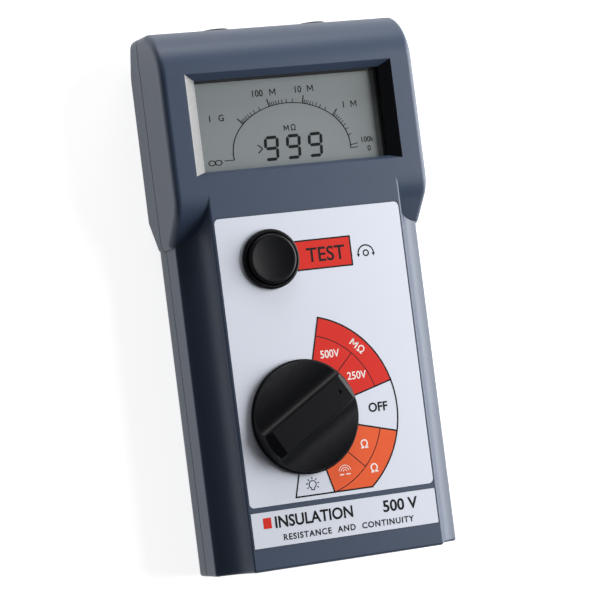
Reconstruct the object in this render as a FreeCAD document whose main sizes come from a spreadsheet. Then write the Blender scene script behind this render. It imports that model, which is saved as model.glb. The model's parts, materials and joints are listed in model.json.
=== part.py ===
"""Parametric model of a hand-held insulation resistance tester, in millimetres.

The tester lies on its back: +Z comes out of its front face, +Y points to its
display end and +X to its right-hand side.  The origin is on the rear plane,
under the middle of the case.  Every size that drives the model is a cell of
the spreadsheet "size"; everything else is worked out from those cells.
"""

import FreeCAD
import Part
import Sketcher

import os
import re

V = FreeCAD.Vector

# ---------------------------------------------------------------- driving sizes
SIZES = {
    # case
    "case_length": 195.0,
    "body_width": 94.6,
    "head_overhang": 1.7,
    "head_length": 77.2,
    "deck_height": 33.2,
    "parting_height": 12.0,
    "wall": 2.4,
    "seal_gap": 0.4,
    "seal_width": 1.5,
    "seal_inset": 0.5,
    "scoop_radius": 12.0,
    "scoop_centre_out": 1.7,
    "scoop_centre_up": 0.3,
    "chin_run": 12.7,
    "chin_round": 12.0,
    "nose_radius": 18.0,
    "nose_reach": 17.2,
    "nose_round": 3.5,
    "lip_round": 3.0,
    "head_edge_round": 2.2,
    "rear_chin_height": 7.5,
    "rear_chin_run": 11.0,
    "heel_run": 12.7,
    "rear_corner_round": 6.5,
    "end_round": 1.0,
    "shoulder_round": 0.8,
    # labels
    "label_width": 71.6,
    "label_thick": 0.4,
    "label_corner": 1.8,
    "label_clearance": 0.25,
    "label_to_window": 15.8,
    "label_gap": 1.9,
    "name_height": 12.5,
    "name_margin": 8.3,
    "rating_width": 56.0,
    "rating_height": 34.0,
    "rating_thick": 0.3,
    # display
    "window_width": 80.0,
    "window_height": 36.3,
    "window_margin": 16.7,
    "bezel_side": 4.2,
    "bezel_top": 2.3,
    "bezel_bottom": 1.3,
    "bezel_depth": 2.7,
    "frame_rim": 2.6,
    "frame_drop": 1.2,
    "pane_thick": 1.3,
    "pane_lap": 2.2,
    "glass_thick": 2.6,
    "glass_lap": 1.6,
    "lcd_lip": 0.7,
    "lcd_lip_lap": 0.6,
    "lcd_wall": 1.6,
    "light_thick": 2.2,
    "strip_width": 1.6,
    # circuit board
    "board_half": 39.0,
    "board_thick": 1.6,
    "board_margin": 10.0,
    "board_head_gap": 13.7,
    "board_screw_radius": 1.0,
    "board_boss_radius": 3.0,
    # range switch
    "knob_diameter": 41.0,
    "knob_left": 11.0,
    "knob_margin": 29.7,
    "knob_gap": 0.5,
    "knob_rim": 1.1,
    "knob_rim_step": 0.5,
    "knob_body_height": 3.3,
    "knob_height": 6.3,
    "knob_bar_width": 9.6,
    "knob_angle": 30.0,
    "hub_radius": 6.9,
    "hub_clearance": 0.1,
    "seal_cord": 0.85,
    "rotor_radius": 15.5,
    "rotor_thick": 1.9,
    "rotor_gap": 1.2,
    "detent_inner": 17.0,
    "detent_outer": 19.0,
    "detent_depth": 1.0,
    "detent_clearance": 0.3,
    "switch_steps": 12.0,
    # test button
    "button_left": 16.3,
    "button_margin": 16.0,
    "button_radius": 9.0,
    "button_proud": 3.2,
    "button_edge": 0.7,
    "dish_depth": 0.55,
    "button_travel": 2.5,
    "button_clearance": 0.45,
    "bezel_lip": 0.55,
    "bezel_flange_height": 1.6,
    "barrel_wall": 0.75,
    "stem_radius": 3.0,
    "button_floor": 1.2,
    "button_drop": 3.0,
    # sockets for 4 mm test leads
    "socket_pitch": 38.0,
    "socket_radius": 5.5,
    "socket_proud": 0.8,
    "socket_length": 24.0,
    "socket_bore": 4.2,
    "socket_collar": 1.1,
    "contact_outer": 3.0,
    "contact_bore": 2.05,
    "contact_length": 20.0,
    "contact_sunk": 1.5,
    # battery bay
    "cell_diameter": 14.5,
    "cell_length": 50.5,
    "cell_nub": 1.0,
    "nub_radius": 2.7,
    "cell_gap": 0.4,
    "bay_wall": 1.3,
    "bay_roof": 1.0,
    "bay_margin": 7.8,
    "spring_room": 4.2,
    "cover_thick": 1.6,
    "cover_lap": 2.0,
    "cover_clearance": 0.3,
    "cover_lip": 1.4,
    "cover_boss_radius": 4.0,
    # fasteners
    "screw_radius": 1.45,
    "screw_head_radius": 2.8,
    "screw_head": 1.9,
    "screw_boss_radius": 3.5,
    "screw_inset": 7.0,
    "screw_end_inset": 5.5,
    "screw_head_inset": 8.7,
    "fit_clearance": 0.1,
}

# ------------------------------------------------- places worked out from the sizes
PLACES = {
    "bottom_end": "-case_length / 2",
    "head_end": "case_length / 2 - socket_proud",
    "head_start": "head_end - head_length",
    "neck_end": "window_low - 2",
    "body_half": "body_width / 2",
    "head_half": "body_half + head_overhang",
    "front_base": "parting_height + seal_gap / 2",
    "rear_top": "parting_height - seal_gap / 2",
    "scoop_x": "body_half + scoop_centre_out",
    "scoop_z": "deck_height + scoop_centre_up",
    "deck_half": "scoop_x - sqrt(scoop_radius^2 - scoop_centre_up^2)",
    "shoulder": "scoop_z - sqrt(scoop_radius^2 - scoop_centre_out^2)",
    "inner_half": "body_half - wall",
    "inner_scoop": "scoop_radius + wall",
    "inner_deck": "deck_height - wall",
    "inner_deck_half": "scoop_x - sqrt(inner_scoop^2 - (scoop_z - inner_deck)^2)",
    "inner_shoulder": "scoop_z - sqrt(inner_scoop^2 - (scoop_x - inner_half)^2)",
    "corner_gain": "(sqrt(2) - 1) * wall",
    "nose_y": "head_end - nose_reach",
    "nose_z": "deck_height - nose_radius",
    "nose_edge": "nose_z + sqrt(nose_radius^2 - nose_reach^2)",
    "inner_nose": "nose_radius - wall",
    "inner_nose_edge": "nose_z + sqrt(inner_nose^2 - (nose_reach - wall)^2)",
    "name_low": "bottom_end + name_margin",
    "name_high": "name_low + name_height",
    "label_low": "name_high + label_gap",
    "label_high": "window_low - label_to_window",
    "label_half": "label_width / 2",
    "label_base": "deck_height - label_thick",
    "window_high": "head_end - window_margin",
    "window_low": "window_high - window_height",
    "window_half": "window_width / 2",
    "opening_half": "window_half - bezel_side",
    "opening_low": "window_low + bezel_bottom",
    "opening_high": "window_high - bezel_top",
    "bezel_base": "deck_height - bezel_depth",
    "frame_base": "bezel_base - frame_drop",
    "pane_base": "frame_base - pane_thick",
    "glass_top": "pane_base - 0.1 - lcd_lip",
    "glass_base": "glass_top - glass_thick",
    "glass_half": "opening_half + glass_lap",
    "glass_low": "opening_low - glass_lap",
    "glass_high": "opening_high + glass_lap",
    "lcd_half": "glass_half + lcd_wall",
    "lcd_low": "glass_low - lcd_wall",
    "lcd_high": "glass_high + lcd_wall",
    "light_top": "glass_base - 0.1",
    "cell_centre": "cover_thick + 1 + cell_diameter / 2",
    "bay_ceiling": "cell_centre + cell_diameter / 2 + cell_gap",
    "board_base": "bay_ceiling + bay_roof + cell_gap",
    "board_top": "board_base + board_thick",
    "board_low": "bottom_end + board_margin",
    "board_high": "head_end - board_head_gap",
    "cell_pitch": "cell_diameter + cell_gap",
    "bay_half": "1.5 * cell_pitch + cell_gap",
    "bay_low": "bottom_end + bay_margin",
    "bay_high": "bay_low + 2 * cell_length + spring_room + 1.6",
    "cover_screw_y": "bay_high + bay_wall + cover_boss_radius + 2",
    "cover_half": "bay_half + cover_lap",
    "cover_low": "bay_low - cover_lap",
    "cover_high": "cover_screw_y + cover_boss_radius + 2",
    "cover_boss_top": "cover_thick + 2.4",
    "knob_x": "-knob_left",
    "knob_y": "label_low + knob_margin",
    "knob_radius": "knob_diameter / 2",
    "knob_base": "deck_height + knob_gap",
    "hub_hole": "hub_radius + hub_clearance",
    "rotor_top": "inner_deck - rotor_gap",
    "rotor_base": "rotor_top - rotor_thick",
    "button_x": "-button_left",
    "button_y": "label_high - button_margin",
    "button_top": "deck_height + button_proud",
    "dish_reach": "button_radius - 2 * button_edge",
    "dish_radius": "(dish_reach^2 + dish_depth^2) / (2 * dish_depth)",
    "barrel_inner": "button_radius + button_clearance",
    "barrel_outer": "barrel_inner + barrel_wall",
    "bezel_flange": "barrel_outer + bezel_lip",
    "floor_top": "deck_height - button_drop",
    "floor_base": "floor_top - button_floor",
    "stem_base": "floor_base - 1.6",
    "switch_top": "stem_base - button_travel - 0.2",
    "seat_base": "floor_top + button_travel + 0.9",
    "socket_tip": "head_end + socket_proud",
    "socket_half": "socket_pitch / 2",
    "socket_height": "board_base - socket_radius - 0.2",
    "converter_base": "wall + 2.1",
    "heel_rise": "socket_height - socket_radius - socket_collar - 2.6",
    "head_screw_x": "head_half - screw_inset",
    "head_screw_y": "head_end - screw_head_inset",
    "end_screw_x": "body_half - screw_inset - 1.3",
    "end_screw_y": "bottom_end + screw_end_inset",
    "screw_seat": "parting_height - 5",
    "rating_low": "cover_high + 8",
    "rear_boss_radius": "screw_boss_radius + 0.7",
}

NAMED = re.compile(r"[a-z][a-z_]+")
NORMAL = {"XY_Plane": 1, "YZ_Plane": 1, "XZ_Plane": -1}
TURNS = {
    "X": FreeCAD.Rotation(V(0, 1, 0), 90),
    "Y": FreeCAD.Rotation(V(1, 0, 0), -90),
    "Z": FreeCAD.Rotation(),
}

DOC = FreeCAD.newDocument("insulation_tester")
SHEET = DOC.addObject("Spreadsheet::Sheet", "size")
SUB_PARTS = []


def fill_sheet():
    """Writes each driving size into its own aliased cell."""
    for row, (alias, number) in enumerate(SIZES.items(), start=1):
        SHEET.set(f"A{row}", alias.replace("_", " "))
        SHEET.set(f"B{row}", str(number))
        SHEET.setAlias(f"B{row}", alias)
    DOC.recompute()


def sized(text):
    """Expression text with every named size written as a cell of the sheet."""

    def swap(match):
        word = match.group(0)
        if word in SIZES:
            return "size." + word
        if word in PLACES:
            return "(" + sized(PLACES[word]) + ")"
        return word

    return NAMED.sub(swap, str(text))


def amount(text):
    """Present value of an expression, in millimetres."""
    return float(SHEET.evalExpression(sized(text)))


def bind(item, prop, text):
    item.setExpression(prop, sized(text))


def bind_place(item, place, axis="Z", spin=0.0):
    """Ties an object's position to the sheet and turns its +Z to an axis."""
    turn = FreeCAD.Rotation(V(0, 0, 1), spin) * TURNS[axis]
    item.Placement = FreeCAD.Placement(V(*[amount(part) for part in place]), turn)
    for letter, part in zip("xyz", place):
        bind(item, ".Placement.Base." + letter, part)


def keep(item, label):
    """Registers an object as one sub-part of the tester."""
    item.Label = label
    SUB_PARTS.append(item)
    return item


# ------------------------------------------------------------------ sketching
def bind_point(sketch, geometry, position, x, y):
    for kind, text in (("DistanceX", x), ("DistanceY", y)):
        rule = Sketcher.Constraint(kind, -1, 1, geometry, position, amount(text))
        index = sketch.addConstraint(rule)
        bind(sketch, f"Constraints[{index}]", text)


def bind_radius(sketch, geometry, radius):
    index = sketch.addConstraint(Sketcher.Constraint("Radius", geometry, amount(radius)))
    bind(sketch, f"Constraints[{index}]", radius)


def arc_middle(start, end, radius, side):
    """Middle point of the short arc from start to end; side +1 bulges left."""
    chord = end - start
    half = chord.Length / 2
    across = V(-chord.y, chord.x, 0).normalize()
    rise = radius - (radius**2 - half**2) ** 0.5
    return (start + end) * 0.5 + across * rise * side


def outline(corners, arcs=None):
    """Drawing of a closed outline; arcs maps an edge's index to (radius, side)."""
    arcs = arcs or {}

    def draw(sketch):
        points = [V(amount(x), amount(y), 0) for x, y in corners]
        ends = []
        for index, start in enumerate(points):
            end = points[(index + 1) % len(points)]
            if index in arcs:
                radius, side = arcs[index]
                curve = Part.Arc(start, arc_middle(start, end, amount(radius), side), end)
            else:
                curve = Part.LineSegment(start, end)
            geometry = sketch.addGeometry(curve, False)
            first = 1 if (sketch.getPoint(geometry, 1) - start).Length < 1e-6 else 2
            ends.append((geometry, first, 3 - first))
        for index, (geometry, first, _) in enumerate(ends):
            before, _, last = ends[index - 1]
            sketch.addConstraint(Sketcher.Constraint("Coincident", before, last, geometry, first))
            bind_point(sketch, geometry, first, *corners[index])
            if index in arcs:
                bind_radius(sketch, geometry, arcs[index][0])

    return draw


def rectangle(left, low, right, high):
    return outline([(left, low), (right, low), (right, high), (left, high)])


def circle(x, y, radius):
    def draw(sketch):
        ring = Part.Circle(V(amount(x), amount(y), 0), V(0, 0, 1), amount(radius))
        geometry = sketch.addGeometry(ring, False)
        bind_point(sketch, geometry, 3, x, y)
        bind_radius(sketch, geometry, radius)

    return draw


# ------------------------------------------------------------ bodies and features
def new_body(label):
    return keep(DOC.addObject("PartDesign::Body", label), label)


def new_sketch(body, role, level, drawings):
    sketch = body.newObject("Sketcher::SketchObject", body.Name + "_sketch")
    plane = next(item for item in body.Origin.OriginFeatures if item.Role == role)
    sketch.AttachmentSupport = [(plane, "")]
    sketch.MapMode = "FlatFace"
    bind(sketch, ".AttachmentOffset.Base.z", f"{NORMAL[role]} * ({level})")
    for draw in drawings:
        draw(sketch)
    return sketch


def prism(body, kind, role, low, high, *drawings):
    """Pad or Pocket of the drawings between two levels along the plane's axis."""
    sketch = new_sketch(body, role, low, drawings)
    feature = body.newObject("PartDesign::" + kind, body.Name + "_" + kind.lower())
    feature.Profile = sketch
    bind(feature, "Length", f"({high}) - ({low})")
    along = NORMAL[role] > 0
    feature.Reversed = along if kind == "Pocket" else not along
    return feature


def lathe(label, place, corners, arcs=None, axis="Z"):
    """Body turned about its own axis from a (radius, height) outline."""
    body = new_body(label)
    sketch = new_sketch(body, "XZ_Plane", "0", [outline(corners, arcs)])
    feature = body.newObject("PartDesign::Revolution", label + "_turned")
    feature.Profile = sketch
    feature.ReferenceAxis = (sketch, ["V_Axis"])
    feature.Angle = 360
    bind_place(body, place, axis)
    return body


def near(vertex, wanted):
    return all(abs(getattr(vertex.Point, axis) - number) < 0.02 for axis, number in wanted.items())


def picked(shape, *spots):
    """Names of the edges whose two ends both lie on one of the wanted spots."""
    names = []
    for index, edge in enumerate(shape.Edges, start=1):
        for spot in spots:
            if edge.Vertexes and all(near(vertex, spot) for vertex in edge.Vertexes):
                names.append(f"Edge{index}")
                break
    return names


def dress(body, kind, size, names):
    """Fillet or Chamfer on named edges of the body's last feature."""
    if not names:
        raise ValueError(f"{body.Label}: no edge to {kind.lower()}")
    base = body.Tip
    feature = body.newObject("PartDesign::" + kind, body.Name + "_" + kind.lower())
    feature.Base = (base, names)
    bind(feature, "Radius" if kind == "Fillet" else "Size", size)
    DOC.recompute()
    return feature


def round_edges(body, size, *spots):
    DOC.recompute()
    return dress(body, "Fillet", size, picked(body.Shape, *spots))


def spot(**texts):
    return {axis: amount(text) for axis, text in texts.items()}


# ------------------------------------------------------------- primitives
def block(name, low, high):
    """Box between two corners, each a triple of expressions."""
    item = DOC.addObject("Part::Box", name)
    for prop, start, end in zip(("Length", "Width", "Height"), low, high):
        bind(item, prop, f"({end}) - ({start})")
    bind_place(item, low)
    return item


def rod(name, place, radius, length, axis="Z"):
    item = DOC.addObject("Part::Cylinder", name)
    bind(item, "Radius", radius)
    bind(item, "Height", length)
    bind_place(item, place, axis)
    return item


def cut(name, base, *tools):
    """Base with each tool taken away."""
    result = base
    for tool in tools:
        step = DOC.addObject("Part::Cut", name)
        step.Base = result
        step.Tool = tool
        result = step
    return result


def fuse(name, *items):
    result = DOC.addObject("Part::MultiFuse", name)
    result.Shapes = list(items)
    return result


def group(label, items):
    """Like pieces, each a solid of its own, kept as one sub-part."""
    result = DOC.addObject("Part::Compound", label)
    result.Links = list(items)
    return keep(result, label)


def coil(name, place, radius, wire, pitch, height, cone=0.0, axis="Z"):
    """Helical spring of eight-sided wire; height is measured between wire centres."""
    helix = DOC.addObject("Part::Helix", name + "_line")
    bind(helix, "Radius", radius)
    bind(helix, "Pitch", pitch)
    bind(helix, "Height", height)
    helix.Angle = cone
    ring = DOC.addObject("Part::RegularPolygon", name + "_wire")
    ring.Polygon = 8
    bind(ring, "Circumradius", wire)
    bind(ring, ".Placement.Base.x", radius)
    ring.Placement.Rotation = FreeCAD.Rotation(V(1, 0, 0), 90)
    DOC.recompute()
    sweep = DOC.addObject("Part::Sweep", name)
    sweep.Sections = [ring]
    sweep.Spine = (helix, [f"Edge{index + 1}" for index in range(len(helix.Shape.Edges))])
    sweep.Solid = True
    sweep.Frenet = True
    bind_place(sweep, place, axis)
    return sweep


def mirrored(text, side):
    """The expression on the left (-1) or right (+1) side of the case."""
    return f"{side} * ({text})"


# ------------------------------------------------------------------ case
def case_screw_places():
    for side in (-1, 1):
        yield mirrored("head_screw_x", side), "head_screw_y"
    for side in (-1, 1):
        yield mirrored("end_screw_x", side), "end_screw_y"


def board_screw_places():
    for side in (-1, 1):
        yield mirrored("board_half - 6.5", side), "head_start + 3"
    for side in (-1, 1):
        yield mirrored("board_half - 8", side), "board_low + 8"


def socket_holes():
    return [circle(mirrored("socket_half", side), "socket_height", "socket_radius + fit_clearance")
            for side in (-1, 1)]


def front_section(half, shoulder_z, radius, deck_x, deck_z, base):
    """Cross-section of the front shell: flat deck between two concave scoops."""
    corners = [
        (f"-({half})", base),
        (half, base),
        (half, shoulder_z),
        (deck_x, deck_z),
        (f"-({deck_x})", deck_z),
        (f"-({half})", shoulder_z),
    ]
    return outline(corners, {2: (radius, 1), 4: (radius, 1)})


def round_end(body, parting):
    """Rounds the outline of the bottom end face, but not its parting edge."""
    DOC.recompute()
    rim = picked(body.Shape, spot(y="bottom_end"))
    flat = picked(body.Shape, spot(z=parting))
    dress(body, "Fillet", "end_round", [name for name in rim if name not in flat])


def make_front_case():
    body = new_body("front_case")
    head = outline(
        [
            ("head_start", "front_base"),
            ("head_end", "front_base"),
            ("head_end", "nose_edge"),
            ("nose_y", "deck_height"),
            ("head_start + chin_run", "deck_height"),
            ("head_start", "deck_height - chin_run"),
        ],
        {2: ("nose_radius", -1)},
    )
    prism(body, "Pad", "YZ_Plane", "-head_half", "head_half", head)
    round_edges(body, "chin_round", spot(y="head_start + chin_run", z="deck_height"))
    round_edges(body, "lip_round", spot(y="head_start", z="deck_height - chin_run"))
    round_edges(body, "nose_round", spot(y="head_end", z="nose_edge"))
    ends = picked(body.Shape, spot(x="head_half"), spot(x="-head_half"))
    flat = picked(body.Shape, spot(z="front_base"))
    dress(body, "Fillet", "head_edge_round", [name for name in ends if name not in flat])

    outer = front_section("body_half", "shoulder", "scoop_radius", "deck_half", "deck_height", "front_base")
    prism(body, "Pad", "XZ_Plane", "bottom_end", "neck_end", outer)
    round_edges(body, "shoulder_round",
                *[spot(x=mirrored(half, side), z=level) for side in (-1, 1)
                  for half, level in (("body_half", "shoulder"), ("deck_half", "deck_height"))])
    round_end(body, "front_base")
    inner = front_section("inner_half", "inner_shoulder", "inner_scoop", "inner_deck_half",
                          "inner_deck", "front_base - 1")
    prism(body, "Pocket", "XZ_Plane", "bottom_end + wall", "neck_end", inner)
    head_room = outline(
        [
            ("head_start + wall", "front_base - 1"),
            ("head_end - wall", "front_base - 1"),
            ("head_end - wall", "inner_nose_edge"),
            ("nose_y", "inner_deck"),
            ("head_start + chin_run + corner_gain", "inner_deck"),
            ("head_start + wall", "deck_height - chin_run - corner_gain"),
        ],
        {2: ("inner_nose", -1)},
    )
    prism(body, "Pocket", "YZ_Plane", "wall - head_half", "head_half - wall", head_room)

    # rim round the display opening, and the sloped bezel above it
    prism(body, "Pad", "XY_Plane", "frame_base", "inner_deck + 0.2",
          rectangle("-opening_half - frame_rim", "opening_low - frame_rim",
                    "opening_half + frame_rim", "opening_high + frame_rim"))
    wide = new_sketch(body, "XY_Plane", "deck_height",
                      [rectangle("-window_half", "window_low", "window_half", "window_high")])
    narrow = new_sketch(body, "XY_Plane", "bezel_base",
                        [rectangle("-opening_half", "opening_low", "opening_half", "opening_high")])
    bezel = body.newObject("PartDesign::SubtractiveLoft", "display_bezel")
    bezel.Profile = wide
    bezel.Sections = [narrow]
    bezel.Ruled = True
    prism(body, "Pocket", "XY_Plane", "frame_base - 1", "bezel_base + 0.2",
          rectangle("-opening_half", "opening_low", "opening_half", "opening_high"))

    # recesses that the two labels lie in
    grown = "label_half + label_clearance"
    prism(body, "Pocket", "XY_Plane", "label_base", "deck_height + 1",
          rectangle(f"-({grown})", "label_low - label_clearance", grown, "label_high + label_clearance"),
          rectangle(f"-({grown})", "name_low - label_clearance", grown, "name_high + label_clearance"))
    DOC.recompute()
    dress(body, "Fillet", "label_corner", upright_edges(body, grown, "label_low - label_clearance",
                                                        "label_high + label_clearance"))

    # range switch: guide for the hub, counterbore for its seal, wall for the detent ring
    prism(body, "Pad", "XY_Plane", "rotor_top + 0.4", "inner_deck + 0.2",
          circle("knob_x", "knob_y", "hub_hole + 2"))
    prism(body, "Pad", "XY_Plane", "rotor_base", "inner_deck + 0.2",
          circle("knob_x", "knob_y", "detent_outer + fit_clearance + 1.4"),
          circle("knob_x", "knob_y", "detent_outer + fit_clearance"))
    prism(body, "Pocket", "XY_Plane", "rotor_base", "deck_height + 1", circle("knob_x", "knob_y", "hub_hole"))
    prism(body, "Pocket", "XY_Plane", "deck_height - 2 * seal_cord - fit_clearance", "deck_height + 1",
          circle("knob_x", "knob_y", "hub_hole + 2 * seal_cord + fit_clearance"))
    # test button: hole for its bezel
    prism(body, "Pocket", "XY_Plane", "inner_deck - 1", "deck_height + 1",
          circle("button_x", "button_y", "barrel_outer + fit_clearance"))

    # pillars for the case screws and the board screws
    head_pillars = [circle(x, y, "screw_boss_radius") for x, y in list(case_screw_places())[:2]]
    end_pillars = [circle(x, y, "screw_boss_radius") for x, y in list(case_screw_places())[2:]]
    prism(body, "Pad", "XY_Plane", "front_base", "deck_height - 5.2", *head_pillars)
    prism(body, "Pad", "XY_Plane", "front_base", "shoulder + 1.4", *end_pillars)
    prism(body, "Pad", "XY_Plane", "board_top", "inner_deck + 0.2",
          *[circle(x, y, "board_boss_radius") for x, y in board_screw_places()])
    prism(body, "Pocket", "XY_Plane", "front_base - 1", "shoulder - 0.4",
          *[circle(x, y, "screw_radius + fit_clearance") for x, y in case_screw_places()])
    prism(body, "Pocket", "XY_Plane", "board_top - 1", "board_top + 6",
          *[circle(x, y, "board_screw_radius + fit_clearance") for x, y in board_screw_places()])
    prism(body, "Pocket", "XZ_Plane", "head_end - wall - 1", "head_end + 1", *socket_holes())
    return body


def upright_edges(body, half, low, high):
    """Vertical edges of a rectangular recess, at its four corners."""
    spots = [spot(x=mirrored(half, side), y=level) for side in (-1, 1) for level in (low, high)]
    return picked(body.Shape, *spots)


def trough(half, base, corner, top):
    """Cross-section with two rounded lower corners and an open-topped shape."""
    return outline(
        [
            (f"-({half})", top),
            (f"-({half})", f"{base} + {corner}"),
            (f"{corner} - {half}", base),
            (f"{half} - ({corner})", base),
            (half, f"{base} + {corner}"),
            (half, top),
        ],
        {1: (corner, -1), 3: (corner, -1)},
    )


def make_rear_case():
    body = new_body("rear_case")
    head = outline(
        [
            ("head_start", "rear_top"),
            ("head_start", "rear_chin_height"),
            ("head_start + rear_chin_run", "0"),
            ("head_end - heel_run", "0"),
            ("head_end", "heel_rise"),
            ("head_end", "rear_top"),
        ]
    )
    prism(body, "Pad", "YZ_Plane", "-head_half", "head_half", head)
    round_edges(body, "chin_round", spot(y="head_end - heel_run", z="0"))
    round_edges(body, "nose_round", spot(y="head_end", z="heel_rise"))
    ends = picked(body.Shape, spot(x="head_half"), spot(x="-head_half"))
    flat = picked(body.Shape, spot(z="rear_top"))
    dress(body, "Fillet", "head_edge_round", [name for name in ends if name not in flat])

    prism(body, "Pad", "XZ_Plane", "bottom_end", "neck_end",
          trough("body_half", "0", "rear_corner_round", "rear_top"))
    round_end(body, "rear_top")
    prism(body, "Pocket", "XZ_Plane", "bottom_end + wall", "neck_end",
          trough("inner_half", "wall", "rear_corner_round - wall", "rear_top + 1"))
    head_room = outline(
        [
            ("head_start + wall", "rear_top + 1"),
            ("head_start + wall", "rear_chin_height + 1"),
            ("head_start + rear_chin_run + 1", "wall"),
            ("head_end - heel_run - 0.4", "wall"),
            ("head_end - wall", "heel_rise + 1.7"),
            ("head_end - wall", "rear_top + 1"),
        ]
    )
    prism(body, "Pocket", "YZ_Plane", "wall - head_half", "head_half - wall", head_room)

    # battery bay, its ledge for the cover and the boss of the cover screw
    prism(body, "Pad", "XY_Plane", "wall - 0.2", "cover_thick + wall",
          rectangle("-cover_half - wall", "cover_low - 1.4", "cover_half + wall", "cover_high + wall"))
    prism(body, "Pad", "XY_Plane", "wall - 0.2", "bay_ceiling + bay_roof",
          rectangle("-bay_half - bay_wall", "bay_low - bay_wall",
                    "bay_half + bay_wall", "bay_high + bay_wall"))
    prism(body, "Pad", "XY_Plane", "wall - 0.2", "cover_boss_top + 6",
          circle("0", "cover_screw_y", "cover_boss_radius + 2"))
    prism(body, "Pocket", "XY_Plane", "-1", "bay_ceiling",
          rectangle("-bay_half", "bay_low", "bay_half", "bay_high"))
    prism(body, "Pocket", "XY_Plane", "-1", "cover_thick + fit_clearance",
          rectangle("-cover_half - cover_clearance", "cover_low - cover_clearance",
                    "cover_half + cover_clearance", "cover_high + cover_clearance"))
    prism(body, "Pocket", "XY_Plane", "-1", "cover_boss_top + 0.2",
          circle("0", "cover_screw_y", "cover_boss_radius + cover_clearance"))
    prism(body, "Pocket", "XY_Plane", "-1", "cover_boss_top + 5.2", circle("0", "cover_screw_y", "2.4"))

    # pillars for the case screws, cradles for the sockets, recess for the rating label
    prism(body, "Pad", "XY_Plane", "heel_rise + 1", "rear_top",
          *[circle(x, y, "rear_boss_radius") for x, y in list(case_screw_places())[:2]])
    prism(body, "Pad", "XY_Plane", "wall - 0.2", "rear_top",
          *[circle(x, y, "rear_boss_radius") for x, y in list(case_screw_places())[2:]])
    prism(body, "Pocket", "XY_Plane", "-1", "screw_seat",
          *[circle(x, y, "screw_head_radius + 0.2") for x, y in case_screw_places()])
    prism(body, "Pocket", "XY_Plane", "-1", "rear_top + 1",
          *[circle(x, y, "screw_radius + fit_clearance") for x, y in case_screw_places()])
    for side in (-1, 1):
        middle = mirrored("socket_half", side)
        prism(body, "Pad", "XZ_Plane", "socket_tip - socket_length + 3", "socket_tip - socket_length + 5",
              rectangle(f"{middle} - 8", "wall - 0.2", f"{middle} + 8", "rear_top"))
    prism(body, "Pocket", "XZ_Plane", "socket_tip - socket_length", "head_end + 1", *socket_holes())
    prism(body, "Pocket", "XY_Plane", "-1", "rating_thick",
          rectangle("-rating_width / 2 - label_clearance", "rating_low - label_clearance",
                    "rating_width / 2 + label_clearance", "rating_low + rating_height + label_clearance"))
    return body


def make_case_seal():
    """Rubber cord between the shells, open where the two sockets pass."""
    rings = []
    for name, inset in (("seal_outside", "seal_inset"), ("seal_inside", "seal_inset + seal_width")):
        body = block(name + "_body", (f"{inset} - body_half", f"bottom_end + {inset}", "rear_top"),
                     (f"body_half - ({inset})", "neck_end", "front_base"))
        head = block(name + "_head", (f"{inset} - head_half", f"head_start + {inset}", "rear_top"),
                     (f"head_half - ({inset})", f"head_end - ({inset})", "front_base"))
        rings.append(fuse(name, body, head))
    gaps = [block("seal_gap_box",
                  (f"{mirrored('socket_half', side)} - socket_radius - 0.4", "head_end - 4", "0"),
                  (f"{mirrored('socket_half', side)} + socket_radius + 0.4", "head_end + 1", "deck_height"))
            for side in (-1, 1)]
    return keep(cut("case_seal_cord", rings[0], rings[1], *gaps), "case_seal")


def make_labels():
    face = new_body("face_label")
    prism(face, "Pad", "XY_Plane", "label_base", "deck_height",
          rectangle("-label_half", "label_low", "label_half", "label_high"))
    DOC.recompute()
    dress(face, "Fillet", "label_corner", upright_edges(face, "label_half", "label_low", "label_high"))
    prism(face, "Pocket", "XY_Plane", "label_base - 1", "deck_height + 1",
          circle("knob_x", "knob_y", "hub_hole + 2 * seal_cord + 0.6"),
          circle("button_x", "button_y", "barrel_outer + 0.4"))
    strip = keep(block("name_plate", ("-label_half", "name_low", "label_base"),
                       ("label_half", "name_high", "deck_height")), "name_label")
    rating = keep(block("rating_plate", ("-rating_width / 2", "rating_low", "0"),
                        ("rating_width / 2", "rating_low + rating_height", "rating_thick")), "rating_label")
    return face, strip, rating


def make_screws():
    shank_room = "fit_clearance"
    screws = []
    for x, y in case_screw_places():
        head = rod("case_screw_head", (x, y, f"screw_seat - screw_head - {shank_room}"),
                   "screw_head_radius", "screw_head")
        shank = rod("case_screw_shank", (x, y, f"screw_seat - {shank_room} - 0.5"), "screw_radius", "12.5")
        slots = cross_recess("case_screw_recess", x, y, f"screw_seat - screw_head - {shank_room}", 1)
        screws.append(cut("case_screw", fuse("case_screw_blank", head, shank), *slots))
    group("case_screws", screws)
    screws = []
    for x, y in board_screw_places():
        head = rod("board_screw_head", (x, y, "board_base - 1.4"), "board_screw_radius + 1", "1.4")
        shank = rod("board_screw_shank", (x, y, "board_base - 0.5"),
                    "board_screw_radius", "board_thick + 5.5")
        slots = cross_recess("board_screw_recess", x, y, "board_base - 1.4", 0.6)
        screws.append(cut("board_screw", fuse("board_screw_blank", head, shank), *slots))
    group("board_screws", screws)


def cross_recess(name, x, y, face, scale):
    """Two crossed slots sunk upwards into a screw head whose face looks down."""
    long = 1.7 * scale
    thin = 0.35 * scale
    return [
        block(name, (f"({x}) - {wide}", f"({y}) - {tall}", f"{face} - 0.1"),
              (f"({x}) + {wide}", f"({y}) + {tall}", f"{face} + {scale}"))
        for wide, tall in ((long, thin), (thin, long))
    ]


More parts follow.
